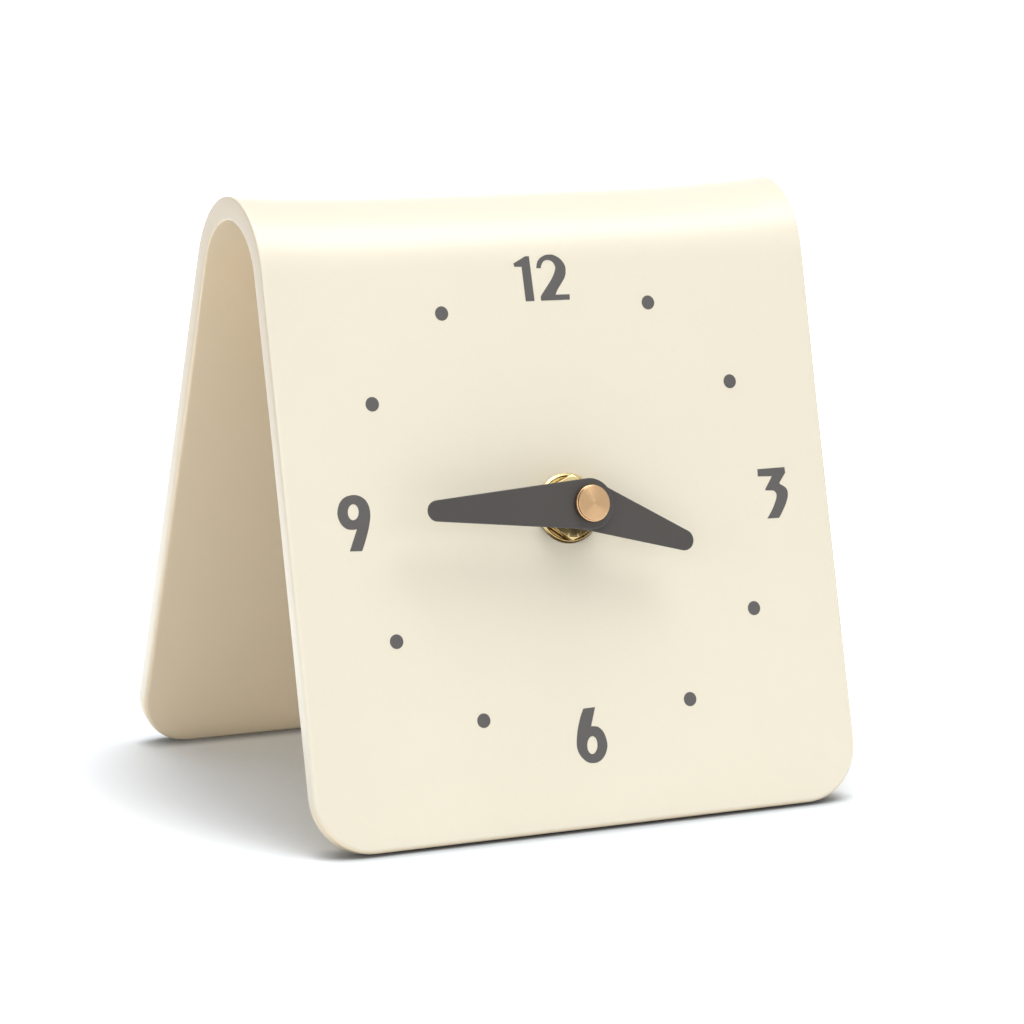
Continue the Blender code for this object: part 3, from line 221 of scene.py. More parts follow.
def softened(corners, radius, steps):
    # Each corner of a path gives way to an arc that touches both its sides, of steps points turned evenly
    # about the arc's centre. A radius of 0 keeps the corner.
    corners = np.asarray(corners, float)
    radius = np.broadcast_to(np.asarray(radius, float), len(corners))[:, None]
    before = np.roll(corners, 1, 0) - corners
    after = np.roll(corners, -1, 0) - corners
    before = before / np.maximum(np.linalg.norm(before, axis=1, keepdims=True), tiny)
    after = after / np.maximum(np.linalg.norm(after, axis=1, keepdims=True), tiny)
    half = np.arccos(np.clip((before * after).sum(1, keepdims=True), -1, 1)) / 2
    touch = radius / np.maximum(np.tan(half), tiny)
    middle = before + after
    middle = middle / np.maximum(np.linalg.norm(middle, axis=1, keepdims=True), tiny)
    centre = corners + middle * radius / np.maximum(np.sin(half), tiny)
    turn = np.pi - 2 * half
    share = np.linspace(0, 1, steps)[None, :, None]
    first = (corners + before * touch - centre)[:, None]
    last = (corners + after * touch - centre)[:, None]
    turn = turn[:, None]
    arcs = np.sin((1 - share) * turn) * first + np.sin(share * turn) * last
    arcs = centre[:, None] + arcs / np.maximum(np.sin(turn), tiny)
    return arcs.reshape(-1, corners.shape[1])


def spun(profile, steps, closed=True, ridge=None):
    # A surface of revolution: each (radius, height) of the profile goes round the axis. ridge gives what is
    # added to the radius, from the angle and the profile's own radius.
    angle = np.linspace(0, 2 * np.pi, steps, endpoint=False)[None, :]
    radius, height = (column[:, None] + 0 * angle for column in np.asarray(profile, float).T)
    if ridge:
        radius = radius + ridge(angle, radius)
    points = np.stack([radius * np.cos(angle), radius * np.sin(angle), height], -1)
    return points.reshape(-1, 3), quads(len(profile), steps, closed, True)


def filled(loops, height):
    # A flat area at one height, bounded by its first loop and pierced by the others.
    flat = np.vstack(loops)
    points = np.column_stack([flat, np.full(len(flat), height)])
    faces = tessellate_polygon([[(x, y, 0.0) for x, y in loop] for loop in loops])
    return points, [list(face) for face in faces]


def slab(loops, low, high):
    # Straight walls from low to high along each loop, with both ends filled.
    walls = []
    for loop in loops:
        ends = [np.column_stack([loop, np.full(len(loop), z)]) for z in (low, high)]
        walls.append((np.vstack(ends), quads(2, len(loop), False, True)))
    return joined(*walls, filled(loops, low), filled(loops, high))


# The dial's own axes
handsAxis = next(j for j in frame["joints"] if j["name"] == "minute_turn")
dialCentre = np.array(handsAxis["pos_m"]) / mm
dialOut = np.array(handsAxis["axis"])
dialUp = np.array([0.0, dialOut[2], -dialOut[1]])
dialRight = np.array([1.0, 0.0, 0.0])


def onDial(points, centre=(0.0, 0.0)):
    # From the dial's own axes (right, up the slope, out of the dial) to the row frame.
    points = np.asarray(points, float) + [centre[0], centre[1], 0.0]
    return dialCentre + points @ np.array([dialRight, dialUp, dialOut])


def makePiece(name, shape, body, material, stands=(), sharp=meshing["sharp"], bevel=0.0):
    # Puts a (points, faces) pair into a mesh, closes its seams and poles, turns its faces outwards and lets
    # the piece ride on its body.
    points, faces = shape
    mesh = bpy.data.meshes.new(name)
    faces = [[int(corner) for corner in face] for face in faces]
    mesh.from_pydata((np.asarray(points) * mm).tolist(), [], faces)
    shell = bmesh.new()
    shell.from_mesh(mesh)
    bmesh.ops.remove_doubles(shell, verts=shell.verts, dist=meshing["seam"] * mm)
    bmesh.ops.delete(shell, geom=[v for v in shell.verts if not v.link_faces], context="VERTS")
    bmesh.ops.recalc_face_normals(shell, faces=shell.faces)
    shell.to_mesh(mesh)
    shell.free()
    return finishPiece(name, mesh, body, material, stands, sharp, bevel)


def finishPiece(name, mesh, body, material, stands, sharp, bevel):
    mesh.polygons.foreach_set("use_smooth", np.ones(len(mesh.polygons), bool))
    mesh.set_sharp_from_angle(angle=np.radians(sharp))
    mesh.materials.clear()
    mesh.materials.append(material)
    piece = bpy.data.objects.new(name, mesh)
    bpy.context.scene.collection.objects.link(piece)
    if bevel:
        edge = piece.modifiers.new("soft edges", "BEVEL")
        edge.width = bevel * mm
        edge.segments = meshing["bevelSteps"]
        edge.limit_method = "ANGLE"
        edge.angle_limit = np.radians(meshing["bevelAngle"])
        edge.harden_normals = True
    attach(piece, body)
    if stands:
        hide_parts(*stands)
    return piece


def softCopy(name, node, body, material, bevel):
    # A copy of a CAD node's own surface, its triangles merged and its flat faces rejoined, with soft edges.
    mesh = frame["nodes"][node].data.copy()
    shell = bmesh.new()
    shell.from_mesh(mesh)
    bmesh.ops.remove_doubles(shell, verts=shell.verts, dist=meshing["seam"] * mm)
    bmesh.ops.dissolve_limit(
        shell, angle_limit=np.radians(meshing["flat"]), use_dissolve_boundaries=False,
        verts=shell.verts, edges=shell.edges,
    )
    shell.to_mesh(mesh)
    shell.free()
    return finishPiece(name, mesh, body, material, (node,), meshing["sharp"], bevel)


# Finishes
texture = {
    # sizes of what the finishes show, in millimetres
    "lacquerDrift": 60.0,
    "lacquerPeel": 2.4,
    "lacquerGrain": 0.35,
    "lacquerGrainDepth": 0.0006,
    "lacquerGloss": 8.0,
    "mouldFlow": 12.0,
    "metalCloud": 3.5,
    "metalHair": 0.12,
    "brassCloud": 1.6,
    "brassRipple": 0.5,
    "brassRippleDepth": 0.002,
    "cutCloud": 2.5,
    # and their shares
    "pitDepthShare": 0.08,  # of a pit's size
    "hairShare": 0.12,  # how much slower a scratch changes along its run
    "wearShare": 0.94,  # brightness of brass where it is cloudy
    "cutDepthShare": 0.12,  # how much slower the cut's depth changes than its rings
    # where most of a noise's values lie, and most of a finer mixture's
    "spread": (0.3, 0.7),
    "mixedSpread": (0.35, 0.65),
    # cosines between which a face starts to look down or sideways and does so fully
    "lacquerUnder": (0.02, 0.25),
    "lacquerEnds": (0.6, 1.0),
    "brassUnder": (0.05, 0.55),
}


def lacquered(colour, lift, orangePeel, rough, under=None, ends=None):
    # Sprayed lacquer: a faint drift of tone, soft orange peel and a fine satin grain. Two tones stand in for
    # light in the photograph: faces that look down may be warmer, and end faces deeper the higher they are.
    def describe(shade):
        drift = noise(shade, texture["lacquerDrift"], 2)
        speck = noise(shade, texture["lacquerGrain"], 1)
        peel = noise(shade, texture["lacquerPeel"], 1)
        gloss = noise(shade, texture["lacquerGloss"], 3)
        tone = between(shade, drift * 0.7 + speck * 0.3, *texture["mixedSpread"])
        coat = mixColour(shade, tone, screen(*colour), screen(*[c + lift for c in colour]))
        if under:
            below = between(shade, facing(shade, down), *texture["lacquerUnder"])
            coat = mixColour(shade, below, coat, screen(*under))
        if ends:
            height = shade.node("SeparateXYZ", sockets={0: place(shade)}, output="Z")
            endOn = shade.math("ABSOLUTE", facing(shade, sideways))
            deep = between(shade, endOn, *texture["lacquerEnds"])
            deep = deep * between(shade, height, ends["low"] * mm, ends["top"] * mm)
            coat = mixColour(shade, deep, coat, screen(*ends["colour"]))
        return {
            "Base Color": coat,
            "Roughness": between(shade, gloss, *texture["spread"], *rough),
            "Normal": bump(shade, speck, texture["lacquerGrainDepth"], bump(shade, peel, orangePeel)),
        }

    return describe


def moulded(colour, lift, grain, rough):
    # Injection moulding: an even body colour with a spark-eroded grain and faint flow marks.
    def describe(shade):
        flow = noise(shade, texture["mouldFlow"], 3)
        pits = noise(shade, grain, 3, 0.6)
        return {
            "Base Color": mixColour(shade, flow, screen(*colour), screen(*[c + lift for c in colour])),
            "Roughness": between(shade, pits * 0.6 + flow * 0.4, *texture["mixedSpread"], *rough),
            "Normal": bump(shade, pits, grain * texture["pitDepthShare"]),
        }

    return describe


def metal(colour, tarnish, rough, scratch=0.0012):
    # Plated or drawn metal: cloudy tone between bright and dull, and hair scratches that run one way.
    def describe(shade):
        cloud = noise(shade, texture["metalCloud"], 3)
        stretch = (texture["hairShare"], 1.0, 1.0)
        stretched = shade.node("Mapping", sockets={"Vector": place(shade), "Scale": stretch})
        hairs = noise(shade, texture["metalHair"], 2, 0.6, stretched)
        return {
            "Base Color": mixColour(shade, cloud * 0.8, screen(*colour), screen(*tarnish)),
            "Roughness": between(shade, cloud * 0.4 + hairs * 0.6, *texture["spread"], *rough),
            "Normal": bump(shade, hairs, scratch),
        }

    return describe


def polishedBrass(colour, under, rough):
    # Bright brass, darker on its undersides, which stands in for what it reflects in the photograph.
    def describe(shade):
        cloud = noise(shade, texture["brassCloud"], 3)
        ripple = noise(shade, texture["brassRipple"], 2)
        dark = between(shade, facing(shade, down) + cloud * 0.2, *texture["brassUnder"])
        worn = [c * texture["wearShare"] for c in colour]
        clean = mixColour(shade, cloud, screen(*colour), screen(*worn))
        return {
            "Base Color": mixColour(shade, dark, clean, screen(*under)),
            "Roughness": between(shade, cloud, *texture["spread"], *rough),
            "Normal": bump(shade, ripple, texture["brassRippleDepth"]),
        }

    return describe


def faced(colour, tarnish, rough, ringWidth, tilt, centre=(0.0, 0.0)):
    # Metal faced on a lathe: fine grooves round the axis, whose sides tilt in and out and spread the light
    # into two opposite fans. The cut is a little deeper in some rings than in others.
    middle = (onDial([[0.0, 0.0, 0.0]], centre)[0] * mm).tolist()

    def describe(shade):
        def vector(operation, *values, output=0):
            return shade.node("VectorMath", {"operation": operation}, dict(enumerate(values)), output)

        fromAxis = vector("SUBTRACT", place(shade), middle)
        along = vector("DOT_PRODUCT", fromAxis, dialOut.tolist(), output=1)
        axisPart = shade.node("CombineXYZ", sockets={0: along, 1: along, 2: along})
        radial = vector("SUBTRACT", fromAxis, vector("MULTIPLY", axisPart, dialOut.tolist()))
        radius = vector("LENGTH", radial, output=1)
        turns = radius / (ringWidth * mm)
        slow = turns * texture["cutDepthShare"]
        depth = shade.node("TexNoise", {"noise_dimensions": "1D"}, {"W": slow, "Detail": 1.0})
        lean = (shade.math("FRACT", turns) - 0.5) * (0.6 + depth * 0.8) * (2 * tilt)
        outwards = vector("NORMALIZE", radial)
        turned = shade.node(
            "VectorTransform", {"vector_type": "VECTOR", "convert_from": "OBJECT", "convert_to": "WORLD"},
            {"Vector": outwards},
        )
        tilted = shade.node("VectorMath", {"operation": "SCALE"}, {0: turned, "Scale": lean})
        surfaceNormal = shade.node("NewGeometry", output="Normal")
        cloud = noise(shade, texture["cutCloud"], 3)
        return {
            "Base Color": mixColour(shade, cloud * 0.8, screen(*colour), screen(*tarnish)),
            "Roughness": between(shade, cloud, *texture["spread"], *rough),
            "Normal": vector("NORMALIZE", vector("ADD", surfaceNormal, tilted)),
        }

    return describe


finishes = {
    "creamLacquer": newMaterial(
        "cream_lacquer",
        lacquered(
            (241, 232, 210), 3, 0.003, (0.32, 0.36), (248, 230, 200),
            {"colour": (213, 196, 168), "low": 30.0, "top": 125.0},
        ),
        Specular_IOR_Level=0.5, Coat_Weight=0.5, Coat_Roughness=0.28,
    ),
    "dialInk": newMaterial("dial_ink", lacquered((88, 85, 83), 6, 0.004, (0.5, 0.6))),
    "charcoalLacquer": newMaterial("charcoal_lacquer", lacquered((66, 62, 59), 4, 0.005, (0.42, 0.52))),
    "capCopper": newMaterial(
        "cap_copper", faced((202, 167, 127), (197, 161, 121), (0.18, 0.24), 0.045, 0.3), Metallic=1.0
    ),
    "washerBrass": newMaterial(
        "washer_brass", polishedBrass((230, 210, 156), (84, 62, 24), (0.2, 0.28)), Metallic=1.0
    ),
    "nutBrass": newMaterial(
        "nut_brass", polishedBrass((232, 209, 154), (150, 120, 66), (0.2, 0.28)), Metallic=1.0
    ),
    "shaftBrass": newMaterial(
        "shaft_brass", metal((224, 200, 142), (196, 168, 108), (0.2, 0.32)), Metallic=1.0
    ),
    "blackRubber": newMaterial("black_rubber", moulded((24, 24, 24), 6, 0.4, (0.75, 0.9))),
    "blackMoulding": newMaterial("black_moulding", moulded((30, 30, 31), 5, 0.22, (0.42, 0.58))),
    "greyMoulding": newMaterial("grey_moulding", moulded((52, 54, 57), 6, 0.22, (0.42, 0.58))),
    "whiteAcetal": newMaterial("white_acetal", moulded((226, 223, 212), 6, 0.3, (0.3, 0.42))),
    "naturalNylon": newMaterial("natural_nylon", moulded((214, 205, 180), 8, 0.3, (0.34, 0.46))),
    "blackResin": newMaterial("black_resin", moulded((14, 14, 15), 5, 1.2, (0.12, 0.2))),
    "brightSteel": newMaterial(
        "bright_steel", metal((196, 196, 198), (168, 168, 170), (0.24, 0.38)), Metallic=1.0
    ),
    "magnet": newMaterial("magnet", metal((70, 70, 73), (48, 48, 50), (0.4, 0.55), 0.004), Metallic=0.8),
    "copperWire": newMaterial("copper_wire", metal((196, 116, 78), (160, 88, 56), (0.2, 0.34)), Metallic=1.0),
    "circuitBoard": newMaterial("circuit_board", moulded((36, 92, 54), 14, 0.8, (0.24, 0.34))),
    "batterySleeve": newMaterial(
        "battery_sleeve", metal((58, 70, 92), (44, 54, 74), (0.26, 0.36)), Metallic=0.6
    ),
}
print("finishes made:", len(finishes))


# Bent sheet
sheet = {
    "width": 134.0,
    "thickness": 4.4,
    "midRadius": 16.2,  # of the bend, at half the thickness
    "bend": 73.4,  # degrees from the crest to each leg
    "bendCentre": 114.8,  # height
    "cornerRadius": 13.2,
    "rounding": 1.0,
    "crestRounding": 0.45,  # share of the rounding that is left at the crest
    "rim": 0.8,  # height of the foot's rounding centre, so that it stands on a narrow flat
    "flare": 1.2,  # curl of the crest's two ends
    "flarePower": 4,
    "swell": 0.2,  # how much thicker the bend has made those ends, as a share
    "holeRadius": 4.25,
    "holeBlock": 7.0,  # half the square of the grid that the hole takes the place of
    "holeEase": 0.1,  # the chamfer at each end of the hole
    "holeSupport": 0.3,
    "dialDistance": 70.1,  # from the foot's edge to the hands' axis
    "support": 0.3,  # a narrow flat strip inside the rounding
    "crispStart": 0.6,  # share of the bend's reach from which the rounding grows again
    "roundSteps": 8,
    # points of the blank's grid, along the sheet from the front foot, and across
    "cornerPoints": 15,
    "legPoints": 9,
    "holePoints": 13,
    "bendPoints": 121,
    "rearPoints": 21,
    "sidePoints": 21,
}


def sheetSizes(s):
    # The leg's length follows from the crest's height and the foot's rim, as on the drawing board.
    bend = np.radians(s["bend"])
    rimRadius = s["midRadius"] - s["thickness"] / 2 + s["rounding"]
    leg = s["rounding"] + (s["bendCentre"] + rimRadius * np.cos(bend) - s["rim"]) / np.sin(bend)
    reach = s["midRadius"] * bend
    return bend, reach, reach + leg


def bent(s, across, along, out):
    # A point of the flat blank, out of its middle plane, laid over the bend: round the crest's centre while
    # along is within the bend, and straight down the leg beyond it. The ends of the crest curl outwards and
    # swell with the fourth power of the distance across, fading down the bend.
    bend = sheetSizes(s)[0]
    side = np.where(along < 0, -1.0, 1.0)
    angle = np.minimum(np.abs(along) / s["midRadius"], bend)
    straight = np.abs(along) - s["midRadius"] * angle
    curl = np.abs(2 * across / s["width"]) ** s["flarePower"] * np.cos(np.pi / 2 * angle / bend) ** 2
    radius = s["midRadius"] + out * (1 + s["swell"] * curl) + s["flare"] * curl
    y = side * (radius * np.sin(angle) + straight * np.cos(bend))
    z = s["bendCentre"] + radius * np.cos(angle) - straight * np.sin(bend)
    return np.stack([across + 0 * y, y, np.maximum(z, 0.0)], -1)


def crispness(s, along):
    # The share of the edge's rounding that is left: least over the crest, growing smoothly to the whole of
    # it over a third of the half sheet.
    reach, half = sheetSizes(s)[1:]
    share = np.clip((np.abs(along) - s["crispStart"] * reach) / (half / 3), 0, 1)
    return s["crestRounding"] + (1 - s["crestRounding"]) * share**2 * (3 - 2 * share)


def blank(s, inset):
    # The flat blank's grid, inset from its outline: rows along the sheet, columns across, closing in on the
    # arcs of the four foot corners.
    reach, half = sheetSizes(s)[1:]
    hole = s["dialDistance"] - half
    corner = s["cornerRadius"]
    turn = np.linspace(0, np.pi / 2, s["cornerPoints"])
    arcAlong = half - corner + (corner - inset) * np.sin(turn)
    arcWidth = s["width"] / 2 - corner + (corner - inset) * np.cos(turn)
    block = s["holeBlock"]
    middle = np.unique(np.concatenate([
        np.linspace(corner - half, hole - block, s["legPoints"]),
        np.linspace(hole - block, hole + block, s["holePoints"]),
        np.linspace(hole + block, -reach, s["legPoints"]),
        np.linspace(-reach, reach, s["bendPoints"]),
        np.linspace(reach, half - corner, s["rearPoints"]),
    ]).round(9))[1:-1]
    along = np.concatenate([-arcAlong[::-1], middle, arcAlong])
    crisp = crispness(s, middle) if inset <= s["rounding"] else 1.0
    width = np.concatenate([arcWidth[::-1], s["width"] / 2 - inset * crisp + 0 * middle, arcWidth])
    edge = s["width"] / 2 - s["rounding"] - s["support"]
    share = np.concatenate([
        np.linspace(-1, -block / edge, s["sidePoints"])[:-1],
        np.linspace(-block / edge, block / edge, s["holePoints"]),
        np.linspace(block / edge, 1, s["sidePoints"])[1:],
    ])
    across = width[:, None] * share[None, :]
    return across, along[:, None] + 0 * across


def border(grid):
    # The grid's outermost points, once round.
    return np.concatenate([grid[0, :-1], grid[:-1, -1], grid[-1, :0:-1], grid[:0:-1, 0]])


def bentSheet(s):
    # Both faces with a gap for the hole, the rim that joins them, and the hole's own wall.
    half = sheetSizes(s)[2]
    thick = s["thickness"] / 2
    flatInset = s["rounding"] + s["support"]
    across, along = blank(s, flatInset)
    hole = s["dialDistance"] - half
    rows = np.flatnonzero(np.abs(along[:, 0] - hole) <= s["holeBlock"] + 0.001)
    columns = np.flatnonzero(np.abs(across[rows[0]]) <= s["holeBlock"] + 0.001)
    kept = np.ones((across.shape[0] - 1, across.shape[1] - 1), bool)
    kept[rows[0]:rows[-1], columns[0]:columns[-1]] = False
    faces = quads(*across.shape)[kept.ravel()]
    parts = [(bent(s, across, along, out).reshape(-1, 3), faces) for out in (thick, -thick)]
    # the rim: the outline carried round the rounding of its edge
    turn = np.linspace(0, np.pi / 2, s["roundSteps"])
    insets = np.concatenate([[flatInset], s["rounding"] * (1 - np.sin(turn))])
    outs = np.concatenate([[thick], thick - s["rounding"] * (1 - np.cos(turn))])
    insets = np.concatenate([insets, insets[::-1]])
    outs = np.concatenate([outs, -outs[::-1]])
    rim = []
    for inset, out in zip(insets, outs):
        x, y = (border(grid) for grid in blank(s, inset))
        rim.append(bent(s, x, y, np.sign(out) * (thick - (thick - abs(out)) * crispness(s, y))))
    parts.append((np.vstack(rim), quads(len(rim), len(rim[0]), False, True)))
    # the hole for the bush: from the block's square border in to a circle, through, and out again
    block = (slice(rows[0], rows[-1] + 1), slice(columns[0], columns[-1] + 1))
    square = np.column_stack([border(grid[block]) for grid in (across, along)])
    square = square - [0.0, hole]
    circle = square / np.linalg.norm(square, axis=1, keepdims=True)
    ease = s["holeEase"]
    steps = [(s["holeSupport"], thick), (ease, thick), (0.0, thick - ease)]
    steps += [(wider, -out) for wider, out in steps[::-1]]
    rings = [circle * (s["holeRadius"] + wider) for wider, out in steps]
    loops = [square] + rings + [square]
    heights = [thick] + [out for wider, out in steps] + [-thick]
    wall = [bent(s, loop[:, 0], loop[:, 1] + hole, out) for loop, out in zip(loops, heights)]
    parts.append((np.vstack(wall), quads(len(wall), len(square), False, True)))
    return joined(*parts)


makePiece(
    "bent_sheet", bentSheet(sheet), "clock_body", finishes["creamLacquer"],
    ("bent_plate",), sharp=50.0,
)
print("bent sheet made")


# Printed dial
dialPrint = {
    "dotRadius": 1.575,
    "dotDistance": 51.2,
    "dotHours": (1, 2, 4, 5, 7, 8, 10, 11),
    "sunk": 0.02,
    "raised": 0.05,
    "curveSteps": 6,
    "dotSteps": 48,
}

# Each number is a list of loops, each loop a list of runs. A run of two points is straight, a longer one is
# a smooth curve through its points. An oval is given by its top, right, bottom and left.
one = [[[
    (-6.9, 54.51), (-6.74, 53.75)], [(-6.74, 53.75), (-4.99, 53.68)], [(-4.99, 53.68), (-4.82, 46.03)],
    [(-4.82, 46.03), (-2.67, 45.99)], [(-2.67, 45.99), (-2.93, 55.92)], [(-2.93, 55.92), (-3.83, 55.96)],
    [(-3.83, 55.96), (-6.9, 54.51)],
]]
two = [[
    [(-1.4, 53.22), (-1.05, 54.48), (-0.29, 55.36), (1.08, 56.0), (2.38, 56.08), (3.39, 55.84), (4.71, 55.03),
     (5.7, 53.59), (5.76, 52.09), (5.18, 50.62), (3.41, 48.39), (2.67, 47.16)],
    [(2.67, 47.16), (6.15, 47.09)], [(6.15, 47.09), (6.07, 45.9)], [(6.07, 45.9), (-0.97, 45.98)],
    [(-0.97, 45.98), (-1.08, 46.65)],
    [(-1.08, 46.65), (-0.81, 47.22), (0.7, 48.98), (2.24, 50.87), (3.11, 52.44), (3.28, 53.47), (2.7, 54.48),
     (1.59, 54.93), (0.52, 54.64), (-0.14, 53.74), (-0.25, 53.17)],
    [(-0.25, 53.17), (-1.4, 53.22)],
]]
three = [[
    [(52.61, 3.59), (48.98, 3.78)], [(48.98, 3.78), (49.03, 5.4)], [(49.03, 5.4), (56.1, 5.42)],
    [(56.1, 5.42), (56.17, 4.17)], [(56.17, 4.17), (54.32, 1.91)],
    [(54.32, 1.91), (54.71, 1.56), (55.69, 0.95), (56.21, 0.16), (56.18, -1.13), (55.53, -2.71),
     (54.47, -4.36), (53.52, -5.69), (53.3, -5.89)],
    [(53.3, -5.89), (50.29, -5.84)],
    [(50.29, -5.84), (51.76, -3.95), (52.75, -2.3), (53.22, -1.25), (53.28, -0.4), (52.86, 0.17),
     (52.39, 0.37), (50.65, 0.52), (50.57, 0.82)],
    [(50.57, 0.82), (52.61, 3.59)],
]]
six = [[
    [(0.25, -48.0), (1.07, -48.07), (2.05, -48.33), (3.05, -49.35), (3.62, -50.82), (3.78, -52.48),
     (3.25, -54.07), (2.27, -55.28), (1.04, -55.93), (-0.11, -56.02), (-1.34, -55.76), (-2.48, -54.88),
     (-3.33, -53.66), (-3.71, -52.21), (-3.59, -50.59), (-3.08, -48.34), (-2.19, -45.91), (-1.34, -44.24),
     (-1.18, -43.98)],
    [(-1.18, -43.98), (1.72, -43.91)], [(1.72, -43.91), (0.25, -48.0)],
], {"oval": [(0.35, -50.17), (1.34, -52.23), (-0.16, -54.05), (-1.19, -51.99)]}]
nine = [[
    [(-50.93, -0.89), (-51.89, -0.96), (-53.36, -0.65), (-54.53, 0.48), (-55.1, 2.12), (-54.96, 3.58),
     (-54.22, 5.13), (-52.87, 6.14), (-51.06, 6.45), (-49.45, 6.09), (-48.19, 5.08), (-47.54, 3.55),
     (-47.49, 1.82), (-47.99, -0.36), (-48.88, -2.76), (-50.06, -5.31), (-50.35, -5.66)],
    [(-50.35, -5.66), (-53.12, -5.51)], [(-53.12, -5.51), (-50.93, -0.89)],
], {"oval": [(-51.21, 4.49), (-50.11, 2.69), (-51.6, 1.07), (-52.67, 2.87)]}]


def smoothRun(points, steps):
    # A cubic between each two neighbours whose slope at a point follows the line between the points on
    # either side of it.
    points = np.asarray(points, float)
    padded = np.vstack([2 * points[0] - points[1], points, 2 * points[-1] - points[-2]])
    a, b, c, d = (padded[k:len(padded) - 3 + k, None] for k in range(4))
    t = np.linspace(0, 1, steps, endpoint=False)[None, :, None]
    curve = (2 * b + (c - a) * t + (2 * a - 5 * b + 4 * c - d) * t**2 + (3 * b - a - 3 * c + d) * t**3) / 2
    return curve.reshape(-1, 2)


def oval(points, steps=40):
    # An ellipse through its top, right, bottom and left points, about their mean.
    top, right, bottom, left = np.asarray(points, float)
    angle = np.linspace(0, 2 * np.pi, steps, endpoint=False)[:, None]
    middle = (top + right + bottom + left) / 4
    return middle + np.cos(angle) * (right - left) / 2 + np.sin(angle) * (top - bottom) / 2


def outline(loop, steps):
    if isinstance(loop, dict):
        return oval(loop["oval"])
    return np.vstack([smoothRun(run, steps if len(run) > 2 else 1) for run in loop])


def dialInk(s):
    low, high = -s["sunk"], s["raised"]
    parts = [
        slab([outline(loop, s["curveSteps"]) for loop in number], low, high)
        for number in (one, two, three, six, nine)
    ]
    angle = np.linspace(0, 2 * np.pi, s["dotSteps"], endpoint=False)
    for hour in s["dotHours"]:
        clock = np.radians(90 - 30 * hour)
        x = s["dotDistance"] * np.cos(clock) + s["dotRadius"] * np.cos(angle)
        y = s["dotDistance"] * np.sin(clock) + s["dotRadius"] * np.sin(angle)
        parts.append(slab([np.column_stack([x, y])], low, high))
    points, faces = joined(*parts)
    return onDial(points), faces


makePiece("dial_print", dialInk(dialPrint), "clock_body", finishes["dialInk"])
print("dial printed")


# Brass on the dial: washer, nut, bush
dialHardware = {
    "washer": {
        "bore": 4.25, "radius": 7.75, "low": 0.3, "floor": 0.75, "top": 1.05, "side": 0.25, "slope": 0.42,
        "crown": 0.16, "inner": 0.2, "steps": 144,
        "soft": (0, 0.05, 0.1, 0.12, 0.12, 0.1, 0), "softSteps": 5,  # radius at each corner of the section
    },
    "nut": {
        "acrossFlats": 12.7, "corner": 0.25, "low": 1.3, "top": 2.9, "bore": 4.25, "chamfer": 30.0,
        "faceRadius": 6.7, "faceInset": 0.12, "boreChamfer": 0.35, "turn": 6.3,
        "sideSteps": 24, "cornerReach": 0.035, "cornerSteps": 7,  # reach in radians to each side of a corner
    },
    "bush": {
        "radius": 3.95, "bore": 2.6, "top": 3.8, "low": -7.4, "pitch": 0.75, "thread": 0.32, "lead": 0.35,
        "root": 1.25, "flank": 4.0,  # the thread's section: a wave of that slope, cut off at its two levels
        "boreChamfer": 0.15, "pitchSteps": 8, "steps": 96,
    },
}


def washerShape(s):
    # A cup washer: from a short side wall the rim slopes up to a narrow crown, and falls to a flat floor.
    outer = s["radius"] - s["slope"]
    inner = outer - s["crown"]
    corners = [
        (s["bore"], s["low"]), (s["radius"], s["low"]), (s["radius"], s["low"] + s["side"]),
        (outer, s["top"]), (inner, s["top"]), (inner - s["inner"], s["floor"]), (s["bore"], s["floor"]),
    ]
    points, faces = spun(softened(corners, s["soft"], s["softSteps"]), s["steps"])
    return onDial(points), faces


def hexRadius(angle, flat, corner):
    # Distance from the centre to a hexagon's side with a corner at angle 0, its corners rounded by arcs.
    turn = np.mod(angle + np.pi / 6, np.pi / 3) - np.pi / 6
    side = flat / np.cos(np.pi / 6 - np.abs(turn))
    arcCentre = (flat - corner) / np.cos(np.pi / 6)
    start = np.pi / 6 - np.arctan((flat - corner) * np.tan(np.pi / 6) / flat)
    under = np.maximum(corner**2 - (arcCentre * np.sin(turn)) ** 2, 0)
    arc = arcCentre * np.cos(turn) + np.sqrt(under)
    return np.where(np.abs(turn) < start, arc, side)


def nutShape(s):
    # A hexagonal prism whose corners are cut by a cone at both faces: at each angle the cone meets the side
    # where its height has fallen by the extra radius times the cone's slope. turn is clockwise from a corner
    # at twelve o'clock.
    side = np.linspace(0, np.pi / 3, s["sideSteps"], endpoint=False)
    near = np.linspace(-s["cornerReach"], s["cornerReach"], s["cornerSteps"])
    angle = np.unique(np.mod(np.concatenate([side, near]), np.pi / 3).round(6))
    angle = (angle[None, :] + np.arange(6)[:, None] * np.pi / 3).ravel() + np.pi / 2
    outer = hexRadius(angle - np.pi / 2, s["acrossFlats"] / 2, s["corner"])
    fall = np.maximum(outer - s["faceRadius"], 0) * np.tan(np.radians(s["chamfer"]))
    bore = np.full_like(angle, s["bore"])
    wide = bore + s["boreChamfer"]
    face = np.minimum(s["faceRadius"], outer - s["faceInset"])
    radius = [bore, wide, face, outer, outer, face, wide, bore]
    flat = np.zeros_like(angle)
    low, top = s["low"] + flat, s["top"] + flat
    height = [low + s["boreChamfer"], low, low, low + fall, top - fall, top, top, top - s["boreChamfer"]]
    radius, height = np.array(radius), np.array(height)
    angle = angle - np.radians(s["turn"])
    points = np.stack([radius * np.cos(angle), radius * np.sin(angle), height], -1).reshape(-1, 3)
    return onDial(points), quads(len(radius), len(angle), True, True)


